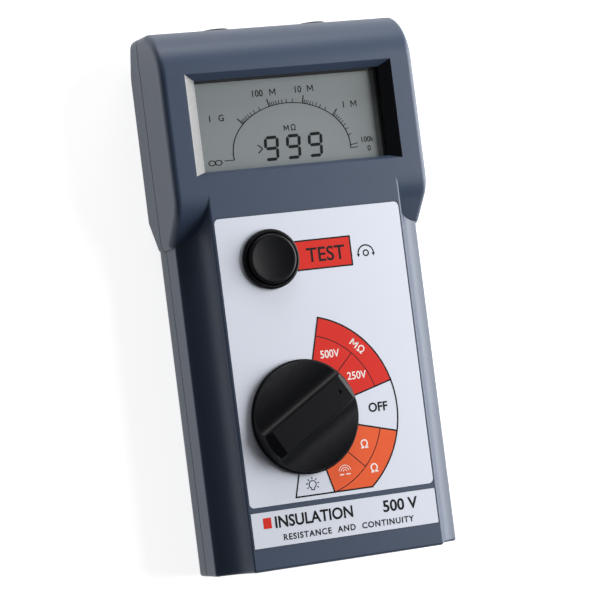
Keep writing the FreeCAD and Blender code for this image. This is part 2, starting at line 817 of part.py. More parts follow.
# ------------------------------------------------------------------ display
def make_display():
    lap = "pane_lap"
    keep(block("window_pane", (f"-opening_half - {lap}", f"opening_low - {lap}", "pane_base"),
               (f"opening_half + {lap}", f"opening_high + {lap}", "frame_base")), "display_window")
    keep(block("liquid_crystal", ("-glass_half", "glass_low", "glass_base"),
               ("glass_half", "glass_high", "glass_top")), "lcd_glass")
    frame = new_body("lcd_frame")
    prism(frame, "Pad", "XY_Plane", "board_top", "glass_top + lcd_lip",
          rectangle("-lcd_half", "lcd_low", "lcd_half", "lcd_high"))
    prism(frame, "Pocket", "XY_Plane", "board_top - 1", "glass_top + 0.05",
          rectangle("-glass_half - 0.1", "glass_low - 0.1", "glass_half + 0.1", "glass_high + 0.1"))
    prism(frame, "Pocket", "XY_Plane", "board_top - 1", "glass_top + lcd_lip + 1",
          rectangle("-opening_half + lcd_lip_lap", "opening_low - 0.4",
                    "opening_half - lcd_lip_lap", "opening_high - lcd_lip_lap"))
    inset = "strip_width + 0.4"
    keep(block("light_guide", ("-glass_half + 1", f"glass_low + {inset}", "light_top - light_thick"),
               ("glass_half - 1", f"glass_high - ({inset})", "light_top")), "backlight_panel")
    strips = [
        block("contact_strip", ("-glass_half + 2", low, "board_top"),
              ("glass_half - 2", f"{low} + strip_width", "glass_base"))
        for low in ("glass_low + 0.1", "glass_high - 0.1 - strip_width")
    ]
    group("lcd_connectors", strips)


# ------------------------------------------------------------------ circuit board
def make_board():
    board = new_body("main_board")
    prism(board, "Pad", "XY_Plane", "board_base", "board_top",
          rectangle("-board_half", "board_low", "board_half", "board_high"))
    prism(board, "Pocket", "XY_Plane", "board_base - 1", "board_top + 1",
          *[circle(x, y, "board_screw_radius + 0.2") for x, y in board_screw_places()])

    top = "board_top"
    chip = block("processor", ("16", "button_y - 24", top), ("30", "button_y - 10", f"{top} + 1.6"))
    keep(chip, "processor_chip")
    chip_places = (
        ("19", "knob_y + 12"),
        ("19", "knob_y - 8"),
        ("19", "knob_y - 30"),
        ("-34", "button_y - 28"),
    )
    chips = [
        block("small_chip", (x, y, top), (f"{x} + 6", f"{y} + 9", f"{top} + 1.7"))
        for x, y in chip_places
    ]
    group("driver_chips", chips)
    can = block("quartz", ("2", "button_y - 6", top), ("13", "button_y - 2", f"{top} + 3.6"))
    keep(can, "quartz_crystal")
    shell = rod("buzzer_shell", ("21.5", "button_y + 6", top), "7", "7")
    sound_hole = rod("buzzer_hole", ("21.5", "button_y + 6", f"{top} + 6"), "1.2", "2")
    keep(cut("buzzer_can", shell, sound_hole), "buzzer")
    body = block("switch_block", ("button_x - 6", "button_y - 6", top),
                 ("button_x + 6", "button_y + 6", "switch_top - 0.8"))
    pin = rod("switch_pin", ("button_x", "button_y", "switch_top - 1.2"), "1.75", "1.2")
    keep(fuse("push_switch", body, pin), "test_switch")


def make_converter():
    """Parts that raise the battery voltage, under the board beside the bay."""
    low = "head_start + 13"
    high = f"{low} + 24"
    centre = "head_start + 25"
    base = "converter_base"
    top = "board_base - 0.4"
    core = block("core_block", ("-39", low, base), ("-17", high, top))
    windows = [
        block("core_window", (x, f"{low} - 1", f"{base} + 3"), (f"{x} + 5", f"{high} + 1", f"{top} - 3"))
        for x in ("-36", "-25")
    ]
    keep(cut("ferrite", core, *windows), "transformer_core")
    former = block("former", ("-35.8", f"{low} - 4.5", f"{base} + 3.1"),
                   ("-20.2", f"{high} + 4.5", f"{top} - 3.1"))
    limb = block("former_bore", ("-31.1", f"{low} - 0.1", base), ("-24.9", f"{high} + 0.1", top))
    wide = block("groove_outside", ("-40", f"{low} - 9", f"{base} + 4.1"),
                 ("-15", f"{high} + 9", f"{top} - 4.1"))
    sleeve = block("groove_inside", ("-32", f"{low} - 1", base), ("-24", f"{high} + 1", top))
    keep(cut("coil_former", former, limb, cut("former_groove", wide, sleeve)), "transformer_bobbin")
    turns = block("winding", ("-35.6", f"{low} - 4.3", f"{base} + 4.2"),
                  ("-20.4", f"{high} + 4.3", f"{top} - 4.2"))
    hole = block("winding_hole", ("-32.1", f"{low} - 1.1", base), ("-23.9", f"{high} + 1.1", top))
    keep(cut("copper_winding", turns, hole), "transformer_coil")
    film = block("film_block", ("-12", f"{centre} - 10", "board_base - 11"),
                 ("6", f"{centre} - 2", "board_base"))
    keep(film, "film_capacitor")
    can_base = "converter_base + 0.9"
    cans = [
        rod("capacitor_can", (x, f"{centre} - 6", can_base), "5", f"board_base - ({can_base})")
        for x in ("14", "25", "33.5")
    ]
    group("smoothing_capacitors", cans)
    cases = [
        block("relay_case", (x, f"{centre} + 2", "board_base - 10.5"),
              (f"{x} + 19", f"{centre} + 12", "board_base"))
        for x in ("-6", "17")
    ]
    group("range_relays", cases)
    barrels = [
        rod("resistor_barrel",
            (f"{mirrored('socket_half', side)} - 7", f"{centre} + 19.5", "board_base - 2.8"),
            "2.2", "14", "X")
        for side in (-1, 1)
    ]
    group("input_resistors", barrels)


def make_fuse():
    x = "bay_half + bay_wall + 8"
    low = "knob_y - 16"
    height = "board_base - 5"
    tube = rod("fuse_body", (x, f"{low} + 5", height), "2.9", "22", "Y")
    keep(tube, "fuse_tube")
    group("fuse_caps", [rod("fuse_cap", (x, y, height), "3.15", "5", "Y") for y in (low, f"{low} + 27")])
    clips = []
    for y in (f"{low} + 0.7", f"{low} + 28"):
        shell = block("clip_shell", (f"{x} - 4", y, "board_base - 6.5"),
                      (f"{x} + 4", f"{y} + 3.3", "board_base"))
        room = rod("clip_room", (x, f"{y} - 1", height), "3.2", "6", "Y")
        mouth = block("clip_mouth", (f"{x} - 2.8", f"{y} - 1", "board_base - 8"),
                      (f"{x} + 2.8", f"{y} + 5", height))
        clips.append(cut("fuse_clip", shell, room, mouth))
    group("fuse_clips", clips)


# ------------------------------------------------------------------ test-lead sockets
def make_sockets():
    end = "socket_length"
    for side, name in ((-1, "left"), (1, "right")):
        x = mirrored("socket_half", side)
        collar_low = "socket_length - socket_proud - wall - 1.7"
        sleeve = [
            ("contact_outer + 0.02", "0"),
            ("socket_radius", "0"),
            ("socket_radius", collar_low),
            ("socket_radius + socket_collar", collar_low),
            ("socket_radius + socket_collar", f"{collar_low} + 1.5"),
            ("socket_radius", f"{collar_low} + 1.5"),
            ("socket_radius", f"{end} - 0.5"),
            ("socket_radius - 0.5", end),
            ("socket_bore + 0.5", end),
            ("socket_bore", f"{end} - 0.5"),
            ("socket_bore", "2.5"),
            ("contact_outer + 0.02", "2.5"),
        ]
        lathe(f"{name}_socket_body", (x, "socket_tip - socket_length", "socket_height"), sleeve, axis="Y")
        top = "socket_length - contact_sunk"
        barrel = [
            ("0", "-3"),
            ("1", "-3"),
            ("1", "-0.6"),
            ("contact_outer", "-0.6"),
            ("contact_outer", f"{top} - 0.6"),
            ("contact_outer - 0.5", top),
            ("contact_bore", top),
            ("contact_bore", f"{top} - contact_length"),
            ("0", f"{top} - contact_length"),
        ]
        lathe(f"{name}_socket_contact", (x, "socket_tip - socket_length", "socket_height"), barrel, axis="Y")
    straps = []
    for side in (-1, 1):
        x = mirrored("socket_half", side)
        low = "socket_tip - socket_length - 2.8"
        strap = block("contact_strap", (f"{x} - 1.8", low, "socket_height - 2"),
                      (f"{x} + 1.8", f"{low} + 1", "board_base"))
        hole = rod("strap_hole", (x, f"{low} - 1", "socket_height"), "1.02", "4", "Y")
        straps.append(cut("socket_strap", strap, hole))
    group("socket_straps", straps)


# ------------------------------------------------------------------ range switch
def make_knob():
    knob = new_body("range_knob")
    rim = "knob_rim"
    prism(knob, "Pad", "XY_Plane", "0", rim, circle("0", "0", "knob_radius"))
    prism(knob, "Pad", "XY_Plane", rim, "knob_body_height + 1.2",
          circle("0", "0", "knob_radius - knob_rim_step"))
    # two flanks scooped out beside the grip bar, rising to the rim
    half = "knob_bar_width / 2"
    deep = "knob_body_height"
    edge = "knob_radius + 1"
    for side in (-1, 1):
        flank = outline(
            [
                (mirrored(half, side), "knob_height + 1"),
                (mirrored(half, side), f"{deep} - 0.9"),
                (mirrored(edge, side), f"{deep} + 0.2"),
                (mirrored(edge, side), "knob_height + 1"),
            ],
            {1: ("22", -side)},
        )
        prism(knob, "Pocket", "YZ_Plane", "-knob_radius - 1", "knob_radius + 1", flank)
    prism(knob, "Pad", "YZ_Plane", "1.1 - knob_radius", "knob_radius - 1.1",
          rectangle(f"-{half}", rim, half, "knob_height"))
    DOC.recompute()
    tips = picked(knob.Shape, spot(z="knob_height", x="knob_radius - 1.1"),
                  spot(z="knob_height", x="1.1 - knob_radius"))
    dress(knob, "Chamfer", "1.2", tips)
    long = picked(knob.Shape, spot(z="knob_height", y=half), spot(z="knob_height", y=f"-{half}"))
    dress(knob, "Fillet", "0.45", long)
    prism(knob, "Pocket", "XY_Plane", "knob_height - 0.5", "knob_height + 1",
          circle("knob_radius - 5", "0", "0.9"))
    prism(knob, "Pad", "XY_Plane", "rotor_top - knob_base", "0.2", circle("0", "0", "hub_radius"))
    prism(knob, "Pocket", "XY_Plane", "rotor_top - knob_base - 1", "0.2",
          circle("0", "0", "screw_radius + fit_clearance"))
    bind_place(knob, ("knob_x", "knob_y", "knob_base"), "Z", amount("knob_angle"))

    rotor = new_body("switch_rotor")
    prism(rotor, "Pad", "XY_Plane", "0", "rotor_thick", circle("0", "0", "rotor_radius"))
    prism(rotor, "Pocket", "XY_Plane", "-1", "rotor_thick + 1",
          circle("0", "0", "screw_radius + fit_clearance"))
    bind_place(rotor, ("knob_x", "knob_y", "rotor_base"), "Z", amount("knob_angle"))

    head = rod("knob_screw_head", ("knob_x", "knob_y", "rotor_base - screw_head"),
               "screw_head_radius", "screw_head")
    shank = rod("knob_screw_shank", ("knob_x", "knob_y", "rotor_base - 0.5"),
                "screw_radius", "rotor_thick + 3")
    slots = cross_recess("knob_screw_recess", "knob_x", "knob_y", "rotor_base - screw_head", 1)
    keep(cut("knob_screw_cut", fuse("knob_screw_blank", head, shank), *slots), "knob_screw")

    seal = DOC.addObject("Part::Torus", "hub_ring")
    bind(seal, "Radius1", "hub_hole + seal_cord")
    bind(seal, "Radius2", "seal_cord")
    bind_place(seal, ("knob_x", "knob_y", "deck_height - seal_cord"))
    keep(seal, "knob_seal")


def make_switch_works():
    """Sprung wipers on the rotor, and the ring of stops that it clicks round."""
    fingers = []
    reach = "rotor_base - board_top - 0.2"
    for step in range(3):
        turn = amount("knob_angle") + 120 * step
        blade = DOC.addObject("Part::Feature", "wiper_blade")
        drop = amount(reach)
        blade.Shape = wiper_blade(drop)
        blade.Placement = FreeCAD.Placement(
            V(amount("knob_x"), amount("knob_y"), amount("rotor_base")), FreeCAD.Rotation(V(0, 0, 1), turn))
        for letter, part in zip("xyz", ("knob_x", "knob_y", "rotor_base")):
            bind(blade, ".Placement.Base." + letter, part)
        fingers.append(blade)
    group("wiper_contacts", fingers)

    ring = new_body("detent_ring")
    prism(ring, "Pad", "XY_Plane", "0", "rotor_thick",
          circle("0", "0", "detent_outer"), circle("0", "0", "detent_inner"))
    notch = prism(ring, "Pocket", "XY_Plane", "-1", "rotor_thick + 1",
                  circle("detent_inner", "0", "detent_depth"))
    wheel = ring.newObject("PartDesign::PolarPattern", "detent_notches")
    wheel.Originals = [notch]
    wheel.Axis = (notch.Profile[0], ["N_Axis"])
    wheel.Angle = 360
    bind(wheel, "Occurrences", "switch_steps")
    ring.Tip = wheel
    bind_place(ring, ("knob_x", "knob_y", "rotor_base"))

    arm = new_body("detent_arm")
    tip = "detent_inner - detent_clearance"
    prism(arm, "Pad", "XY_Plane", "0.2", "rotor_thick - 0.2", outline(
        [
            ("rotor_radius + 0.05", "-3"),
            (tip, "0"),
            ("rotor_radius + 0.05", "3"),
        ]))
    bind_place(arm, ("knob_x", "knob_y", "rotor_base"), "Z", amount("knob_angle"))


def wiper_blade(drop):
    """Bent strip: flat on the rotor, sloping down, then a contact toe."""
    width = 3.0
    thick = 0.3
    path = [V(4.6, 0, 0), V(7.5, 0, 0), V(11.5, 0, thick - drop), V(13.2, 0, thick - drop)]
    under = [point - V(0, 0, thick) for point in reversed(path)]
    face = Part.Face(Part.makePolygon(path + under + [path[0]]))
    strip = face.extrude(V(0, width, 0))
    strip.translate(V(0, -width / 2, 0))
    return strip


# ------------------------------------------------------------------ test button
def make_button():
    place = ("button_x", "button_y", "0")
    lathe("test_button", place, [
        ("0", "button_top - 1.9"),
        ("button_radius", "button_top - 1.9"),
        ("button_radius", "button_top - button_edge"),
        ("button_radius - button_edge", "button_top"),
        ("dish_reach", "button_top"),
        ("0", "button_top - dish_depth"),
    ], {4: ("dish_radius", 1)})
    lathe("button_stem", place, [
        ("0", "stem_base"),
        ("stem_radius - 0.4", "stem_base"),
        ("stem_radius - 0.4", "stem_base + 0.5"),
        ("stem_radius - 0.8", "stem_base + 0.5"),
        ("stem_radius - 0.8", "floor_base - 0.1"),
        ("stem_radius", "floor_base - 0.1"),
        ("stem_radius", "button_top - 1.9"),
        ("0", "button_top - 1.9"),
    ])
    clip_low = "stem_base + 0.6"
    disc = rod("clip_disc", ("button_x", "button_y", clip_low), "stem_radius + 1.6", "0.7")
    bore = rod("clip_bore", ("button_x", "button_y", f"{clip_low} - 1"), "stem_radius - 0.75", "3")
    mouth = block("clip_slot", ("button_x", "button_y - 1.6", f"{clip_low} - 1"),
                  ("button_x + 8", "button_y + 1.6", f"{clip_low} + 2"))
    keep(cut("retaining_clip", disc, bore, mouth), "button_clip")
    lathe("spring_seat", place, [
        ("stem_radius + fit_clearance", "seat_base"),
        ("button_radius - 0.6", "seat_base"),
        ("button_radius - 0.6", "button_top - 2"),
        ("stem_radius + fit_clearance", "button_top - 2"),
    ])
    lathe("button_bezel", place, [
        ("stem_radius + fit_clearance", "floor_base"),
        ("barrel_outer", "floor_base"),
        ("barrel_outer", "deck_height"),
        ("bezel_flange", "deck_height"),
        ("bezel_flange", "deck_height + bezel_flange_height - 0.8"),
        ("bezel_flange - 0.5", "deck_height + bezel_flange_height"),
        ("barrel_inner", "deck_height + bezel_flange_height"),
        ("barrel_inner", "floor_top"),
        ("stem_radius + fit_clearance", "floor_top"),
    ])
    spring = coil("return_spring", ("button_x", "button_y", "floor_top + 0.35"), "6.2", "0.25", "1.2",
                  "seat_base - floor_top - 0.7")
    keep(spring, "button_spring")


# ------------------------------------------------------------------ battery
def make_battery():
    pitch = "cell_pitch"
    number = 0
    springs = []
    plates = []
    for column in (-1, 0, 1):
        x = f"{column} * {pitch}"
        forward = column != 0
        start = "bay_low + spring_room" if forward else "bay_low + 0.8"
        for row in (0, 1):
            number += 1
            base = f"{start} + {row} * cell_length"
            if forward:
                jacket_start = base
                nub_start = f"{base} + cell_length - cell_nub - 0.2"
            else:
                jacket_start = f"{base} + cell_nub + 0.1"
                nub_start = f"{base} + 0.1"
            jacket = rod("cell_can", (x, jacket_start, "cell_centre"),
                         "cell_diameter / 2", "cell_length - cell_nub - 0.1", "Y")
            nub = rod("cell_cap", (x, nub_start, "cell_centre"), "nub_radius", "cell_nub + 0.1", "Y")
            keep(fuse("cell", jacket, nub), f"cell_{number}")
        low_end, high_end = ("spring", "plate") if forward else ("plate", "spring")
        springs.append(contact_spring(x, "bay_low + 0.65" if low_end == "spring" else "bay_high - 3.9"))
    # each plate joins the cells between two columns' edges; the two ends are staggered
    for split, start in ((0.5, "bay_low + 0.02"), (-0.5, "bay_high - 0.35")):
        for left, right in ((-1.5, split), (split, 1.5)):
            plates.append(block("end_plate", (f"{left} * {pitch} + 1", start, "cell_centre - 5"),
                                (f"{right} * {pitch} - 1", f"{start} + 0.33", "cell_centre + 5")))
    group("cell_springs", springs)
    group("cell_plates", plates)


def contact_spring(x, y):
    return coil("cell_coil", (x, y, "cell_centre"), "4", "0.25", "0.95", "2.9", axis="Y")


def make_battery_cover():
    cover = new_body("battery_cover")
    prism(cover, "Pad", "XY_Plane", "0", "cover_thick",
          rectangle("-cover_half", "cover_low", "cover_half", "cover_high"))
    lip = "bay_half - cover_clearance"
    prism(cover, "Pad", "XY_Plane", "cover_thick", "cover_thick + cover_lip",
          rectangle(f"-({lip})", "bay_low + cover_clearance", lip, "bay_low + cover_clearance + 1.2"),
          rectangle(f"-({lip})", "bay_high - cover_clearance - 1.2", lip, "bay_high - cover_clearance"))
    prism(cover, "Pad", "XY_Plane", "cover_thick - 0.1", "cover_boss_top",
          circle("0", "cover_screw_y", "cover_boss_radius"))
    prism(cover, "Pocket", "XY_Plane", "-1", "cover_boss_top + 1",
          circle("0", "cover_screw_y", "screw_radius + 0.2"))
    prism(cover, "Pocket", "XY_Plane", "-1", "screw_head + 0.3",
          circle("0", "cover_screw_y", "screw_head_radius + 0.2"))

    face = "0.2"
    head = rod("cover_screw_head", ("0", "cover_screw_y", face), "screw_head_radius", "screw_head")
    shank = rod("cover_screw_shank", ("0", "cover_screw_y", f"{face} + screw_head - 0.2"),
                "screw_radius", "6.4")
    slot = block("cover_screw_slot", ("-3", "cover_screw_y - 0.4", "0"), ("3", "cover_screw_y + 0.4", "1"))
    keep(cut("cover_screw_cut", fuse("cover_screw_blank", head, shank), slot), "cover_screw")
    low = "cover_boss_top + 0.2"
    shell = rod("insert_shell", ("0", "cover_screw_y", low), "2.38", "4.8")
    bore = rod("insert_bore", ("0", "cover_screw_y", f"{low} - 1"), "screw_radius + fit_clearance", "8")
    keep(cut("insert_cut", shell, bore), "cover_insert")


# ------------------------------------------------------------------ checks and export
def check_document():
    DOC.recompute()
    for item in DOC.Objects:
        if "Invalid" in item.State or "Error" in item.State:
            raise RuntimeError(f"{item.Label} ({item.Name}) did not recompute: {item.State}")
        if item.TypeId in ("PartDesign::Pocket", "PartDesign::SubtractiveLoft"):
            base = item.BaseFeature.Shape.Volume
            if not item.Shape.Volume < base - 0.01:
                raise RuntimeError(f"{item.Name} removes nothing")
    for item in SUB_PARTS:
        if item.Shape.isNull() or not item.Shape.isValid() or not item.Shape.Solids:
            raise RuntimeError(f"{item.Label} has no valid solid")


def main():
    fill_sheet()
    make_front_case()
    make_rear_case()
    make_case_seal()
    make_labels()
    make_screws()
    make_display()
    make_board()
    make_converter()
    make_fuse()
    make_sockets()
    make_knob()
    make_switch_works()
    make_button()
    make_battery()
    make_battery_cover()
    check_document()
    os.makedirs("parts", exist_ok=True)
    for item in SUB_PARTS:
        item.Shape.exportStep(f"parts/{item.Label}.step")


main()
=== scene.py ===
"""Hand-held insulation tester: the finish of its parts, its print and its controls.

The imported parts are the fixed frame.  Every piece here is in metres, in the same
frame: +Z out of the front face, +Y to the display end, +X to the right-hand side.
"""

import json
import math
from contextlib import contextmanager

import bmesh
import bpy
from bpy.props import FloatProperty, FloatVectorProperty, IntProperty, PointerProperty
from bpy.types import Operator, Panel, PropertyGroup
from mathutils import Matrix, Vector


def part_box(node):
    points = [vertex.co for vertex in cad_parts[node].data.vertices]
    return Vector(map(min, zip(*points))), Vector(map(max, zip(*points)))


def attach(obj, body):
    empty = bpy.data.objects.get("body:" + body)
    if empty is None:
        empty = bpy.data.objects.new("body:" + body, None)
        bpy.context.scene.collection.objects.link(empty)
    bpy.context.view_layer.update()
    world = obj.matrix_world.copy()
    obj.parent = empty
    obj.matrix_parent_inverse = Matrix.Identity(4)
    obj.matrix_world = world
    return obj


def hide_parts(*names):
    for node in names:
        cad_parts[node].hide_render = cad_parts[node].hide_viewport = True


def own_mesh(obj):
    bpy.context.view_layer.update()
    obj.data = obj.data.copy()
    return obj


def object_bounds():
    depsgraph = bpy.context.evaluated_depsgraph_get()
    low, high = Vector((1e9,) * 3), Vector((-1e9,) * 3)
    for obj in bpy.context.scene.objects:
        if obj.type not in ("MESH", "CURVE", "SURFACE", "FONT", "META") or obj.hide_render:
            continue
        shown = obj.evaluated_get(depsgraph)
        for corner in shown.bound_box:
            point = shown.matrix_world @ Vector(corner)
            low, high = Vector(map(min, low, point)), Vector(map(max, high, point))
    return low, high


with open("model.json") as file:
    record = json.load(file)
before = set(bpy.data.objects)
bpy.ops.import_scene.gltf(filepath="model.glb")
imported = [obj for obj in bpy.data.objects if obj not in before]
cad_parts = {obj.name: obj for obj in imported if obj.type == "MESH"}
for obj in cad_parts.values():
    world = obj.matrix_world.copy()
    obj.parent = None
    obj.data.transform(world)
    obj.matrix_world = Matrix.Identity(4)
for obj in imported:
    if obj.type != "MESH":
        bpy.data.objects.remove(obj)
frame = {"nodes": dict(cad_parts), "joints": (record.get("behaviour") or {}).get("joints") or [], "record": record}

bl_info = {
    "name": "Insulation tester",
    "version": (1, 0, 0),
    "blender": (4, 5, 0),
    "location": "3D View > Sidebar > Tester",
    "description": "Builds the looks of a hand-held insulation tester",
    "category": "Object",
}

CAD_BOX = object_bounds()
MM = 0.001
FULL_TURN = 2 * math.pi
CAPITAL_HEIGHT = 0.7  # share of the built-in face's size
SUNK = 0.01 * MM  # how far print starts inside what it is printed on
SLOT_OF = {part["node"]: part["material_slot"] for part in frame["record"]["subparts"]}


# ---------------- places
def joint_place(name):
    """The point that a joint turns about, in metres."""
    found = [joint for joint in frame["joints"] if joint["name"] == name]
    return Vector(found[0]["pos_m"])


KNOB_AXIS = joint_place("range_knob_turn")
BUTTON_AXIS = joint_place("test_button_lock_turn")
LABEL_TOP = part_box("face_label")[1].z
GLASS_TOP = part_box("lcd_glass")[1].z


# ---------------- settings
def linear(hex_text):
    """An sRGB hex value as a linear colour."""
    parts = [int(hex_text[i:i + 2], 16) / 255 for i in (1, 3, 5)]
    return [c / 12.92 if c <= 0.04045 else ((c + 0.055) / 1.055) ** 2.4 for c in parts]


def length(name, about, millimetres):
    return FloatProperty(
        name=name, description=about, default=millimetres * MM, unit="LENGTH", precision=5)


def colour(name, about, hex_text):
    return FloatVectorProperty(
        name=name, description=about, default=linear(hex_text), subtype="COLOR", size=3, min=0, max=1)


def turn(name, about, degrees):
    return FloatProperty(
        name=name, description=about, default=math.radians(degrees), subtype="ANGLE", unit="ROTATION")


def amount(name, about, value):
    return FloatProperty(name=name, description=about, default=value, precision=4)


class TesterColours(PropertyGroup):
    case: colour("Case", "Slate ABS of the two shells", "#354257")
    label: colour("Label", "Ground colour of the face label", "#cdd2de")
    red: colour("Red ink", "Test box and insulation ranges", "#cd2a20")
    orange: colour("Orange ink", "Resistance ranges", "#dd5a30")
    black: colour("Black ink", "Outlines and lettering", "#101113")
    white: colour("White ink", "Lettering on the coloured ranges", "#e6e4e1")
    control: colour("Controls", "Black plastic of knob and button", "#08090d")
    crystal: colour("Crystal", "Reflective ground of the display", "#8a8e90")
    segment: colour("Segment", "Driven segments of the display", "#16181c")


class TesterSizes(PropertyGroup):
    print_rise: length("Print height", "How far ink stands above the label", 0.03)
    outline: length("Outline", "Width of the black outlines", 0.58)
    ring_outer: length("Range ring outside", "Outer radius of the range ring", 36.0)
    ring_middle: length("Range ring middle", "Radius between the two rows of ranges", 29.0)
    ring_inner: length("Range ring inside", "Inner radius of the range ring, under the knob", 19.6)
    ring_foot: length("Range ring foot", "Straight foot of the ring, below the knob's axis", 28.0)
    knob_rim: length("Knob rim", "Height of the rim round the knob's foot", 1.1)
    knob_step: length("Knob step", "How far the knob's body stands in from its rim", 0.5)
    knob_draft: length("Knob draft", "How far the knob's body narrows to its top", 1.6)
    ring_offset: length("Range ring offset", "Range ring's centre, to the right of the knob's axis", 0.6)
    bar_width: length("Bar width", "Width of the grip bar across the knob", 9.6)
    scoop_depth: length("Scoop depth", "Depth of the hollow on each side of the bar", 4.3)
    scoop_reach: length("Scoop reach", "Half width of the hollow's ellipse", 9.5)
    bar_round: length("Bar edge", "Rounding of the grip bar's edges", 0.25)
    button_edge: length("Button edge", "Rounding of the button's edge", 0.8)
    button_dish: length("Button dish", "Depth of the dish for the finger", 0.55)
    spring_wire: length("Spring wire", "Diameter of the return spring's wire", 0.5)
    spring_turns: IntProperty(name="Spring turns", description="Turns of the return spring", default=3)
    digit_height: length("Digit height", "Height of the large digits", 9.0)
    digit_width: length("Digit width", "Width of one large digit", 5.7)
    digit_pitch: length("Digit pitch", "Distance from digit to digit", 8.55)
    grain: length("Case grain", "Size of the eroded grain, drawn coarse enough to show", 0.55)


class StageSettings(PropertyGroup):
    azimuth: turn("Azimuth", "Where the camera stands round the tester", -85.62)
    elevation: turn("Elevation", "Camera's height above the floor", 67.74)
    roll: turn("Roll", "Turn of the camera about its own axis", 78.75)
    distance: length("Distance", "From the camera to the point it looks at", 997.8)
    aim_right: length("Aim right", "Where the camera looks, across the face", -7.0)
    aim_up: length("Aim up", "Where the camera looks, up the face", -3.7)
    lens: amount("Lens", "Focal length in millimetres", 168.0)
    key: amount("Key", "Power of the large light on the right, in watts", 12.5)
    top: amount("Top", "Power of the light past the display end, in watts", 4.0)
    strip: amount("Strip", "Power of the low strip light on the right, in watts", 2.8)
    fill: amount("Fill", "Strength of the even light from all round", 0.09)
    glow: amount("Floor glow", "Light of the floor itself, as from a lit table", 0.85)
    floor: colour("Floor", "Pale floor", "#bfbfbf")


# ---------------- mesh helpers
def deselect():
    bpy.ops.object.select_all(action="DESELECT")


def only(piece):
    """Makes a piece the one selected and active object."""
    deselect()
    piece.select_set(True)
    bpy.context.view_layer.objects.active = piece


def added(name):
    """Names the object just added and moves its place into its mesh."""
    piece = bpy.context.object
    piece.name = piece.data.name = name
    only(piece)
    bpy.ops.object.transform_apply(location=True, rotation=True, scale=True)
    return piece


def moved(piece, place):
    """Moves a piece by a matrix, in its mesh."""
    piece.matrix_world = place
    only(piece)
    bpy.ops.object.transform_apply(location=True, rotation=True, scale=True)
    return piece


def primitive(kind, name, scale=(1, 1, 1), **settings):
    """Adds a primitive; the scale is set after, as the plane's operator leaves it out."""
    deselect()
    getattr(bpy.ops.mesh, f"primitive_{kind}_add")(**settings)
    bpy.context.object.scale = scale
    return added(name)


@contextmanager
def editing(piece, kind="FACE"):
    only(piece)
    bpy.ops.object.mode_set(mode="EDIT")
    bpy.ops.mesh.select_mode(type=kind)
    bpy.ops.mesh.select_all(action="SELECT")
    yield
    bpy.ops.object.mode_set(mode="OBJECT")


def pick(piece, wanted, kind="faces"):
    """Selects the faces, edges or points for which wanted(place, direction) holds."""
    made = bmesh.from_edit_mesh(piece.data)
    for part in (*made.verts, *made.edges, *made.faces):
        part.select_set(False)
    for part in getattr(made, kind):
        if kind == "faces":
            place, direction = part.calc_center_median(), part.normal
        elif kind == "edges":
            ends = [point.co for point in part.verts]
            place, direction = (ends[0] + ends[1]) / 2, (ends[1] - ends[0]).normalized()
        else:
            place, direction = part.co, part.normal
        if wanted(place, direction):
            part.select_set(True)
    made.select_flush_mode()
    bmesh.update_edit_mesh(piece.data)


def modify(piece, kind, **settings):
    """Adds a modifier with these settings and applies it."""
    modifier = piece.modifiers.new(kind.lower(), kind)
    for key, value in settings.items():
        setattr(modifier, key, value)
    only(piece)
    bpy.ops.object.modifier_apply(modifier=modifier.name)


def carve(piece, cutter):
    """Cuts the cutter out of a piece, and removes it."""
    modify(piece, "BOOLEAN", object=cutter, operation="DIFFERENCE", solver="EXACT")
    bpy.data.objects.remove(cutter)


def tidy_mesh(piece, apart=0.002 * MM):
    """Merges doubled points and turns every face outward."""
    with editing(piece):
        bpy.ops.mesh.remove_doubles(threshold=apart)
        bpy.ops.mesh.select_all(action="SELECT")
        bpy.ops.mesh.normals_make_consistent(inside=False)


def smooth(piece, degrees=35):
    only(piece)
    bpy.ops.object.shade_smooth_by_angle(angle=math.radians(degrees))


def join(name, pieces):
    """Joins pieces into one, which takes this name."""
    deselect()
    for piece in pieces:
        piece.select_set(True)
    bpy.context.view_layer.objects.active = pieces[0]
    if len(pieces) > 1:
        bpy.ops.object.join()
    piece = bpy.context.object
    piece.name = piece.data.name = name
    return piece


def outline_points(name, points):
    """One loose line through the points, drawn by extruding a corner of a plane."""
    piece = primitive("plane", name, size=MM)
    with editing(piece, "VERT"):
        pick(piece, lambda place, _: place.x > 0 or place.y > 0, "verts")
        bpy.ops.mesh.delete(type="VERT")
        bpy.ops.mesh.select_all(action="SELECT")
        here = Vector((-MM / 2, -MM / 2, 0))
        bpy.ops.transform.translate(value=points[0] - here)
        for before, after in zip(points, points[1:]):
            bpy.ops.mesh.extrude_region_move(TRANSFORM_OT_translate={"value": after - before})
    return piece


def plate(name, points, low, high):
    """A flat plate with this outline of (x, y) points."""
    piece = outline_points(name, [Vector((x, y, low)) for x, y in points])
    with editing(piece, "VERT"):
        bpy.ops.mesh.edge_face_add()
        bpy.ops.mesh.extrude_region_move(TRANSFORM_OT_translate={"value": (0, 0, high - low)})
    tidy_mesh(piece)
    return piece


def turned(name, axis, profile, steps=96):
    """A turned piece: the (radius, height) profile spun about a vertical axis."""
    points = [Vector((axis.x + radius, axis.y, height)) for radius, height in profile]
    piece = outline_points(name, points)
    with editing(piece, "VERT"):
        bpy.ops.mesh.spin(
            steps=steps, angle=FULL_TURN, center=(axis.x, axis.y, 0), axis=(0, 0, 1))
    tidy_mesh(piece)
    smooth(piece)
    return piece


def arc(centre, radius, start, end, steps=6):
    """Points of an arc in a profile, with angles in degrees."""
    across, up = centre
    turns = [math.radians(start + (end - start) * step / steps) for step in range(steps + 1)]
    return [(across + radius * math.cos(a), up + radius * math.sin(a)) for a in turns]


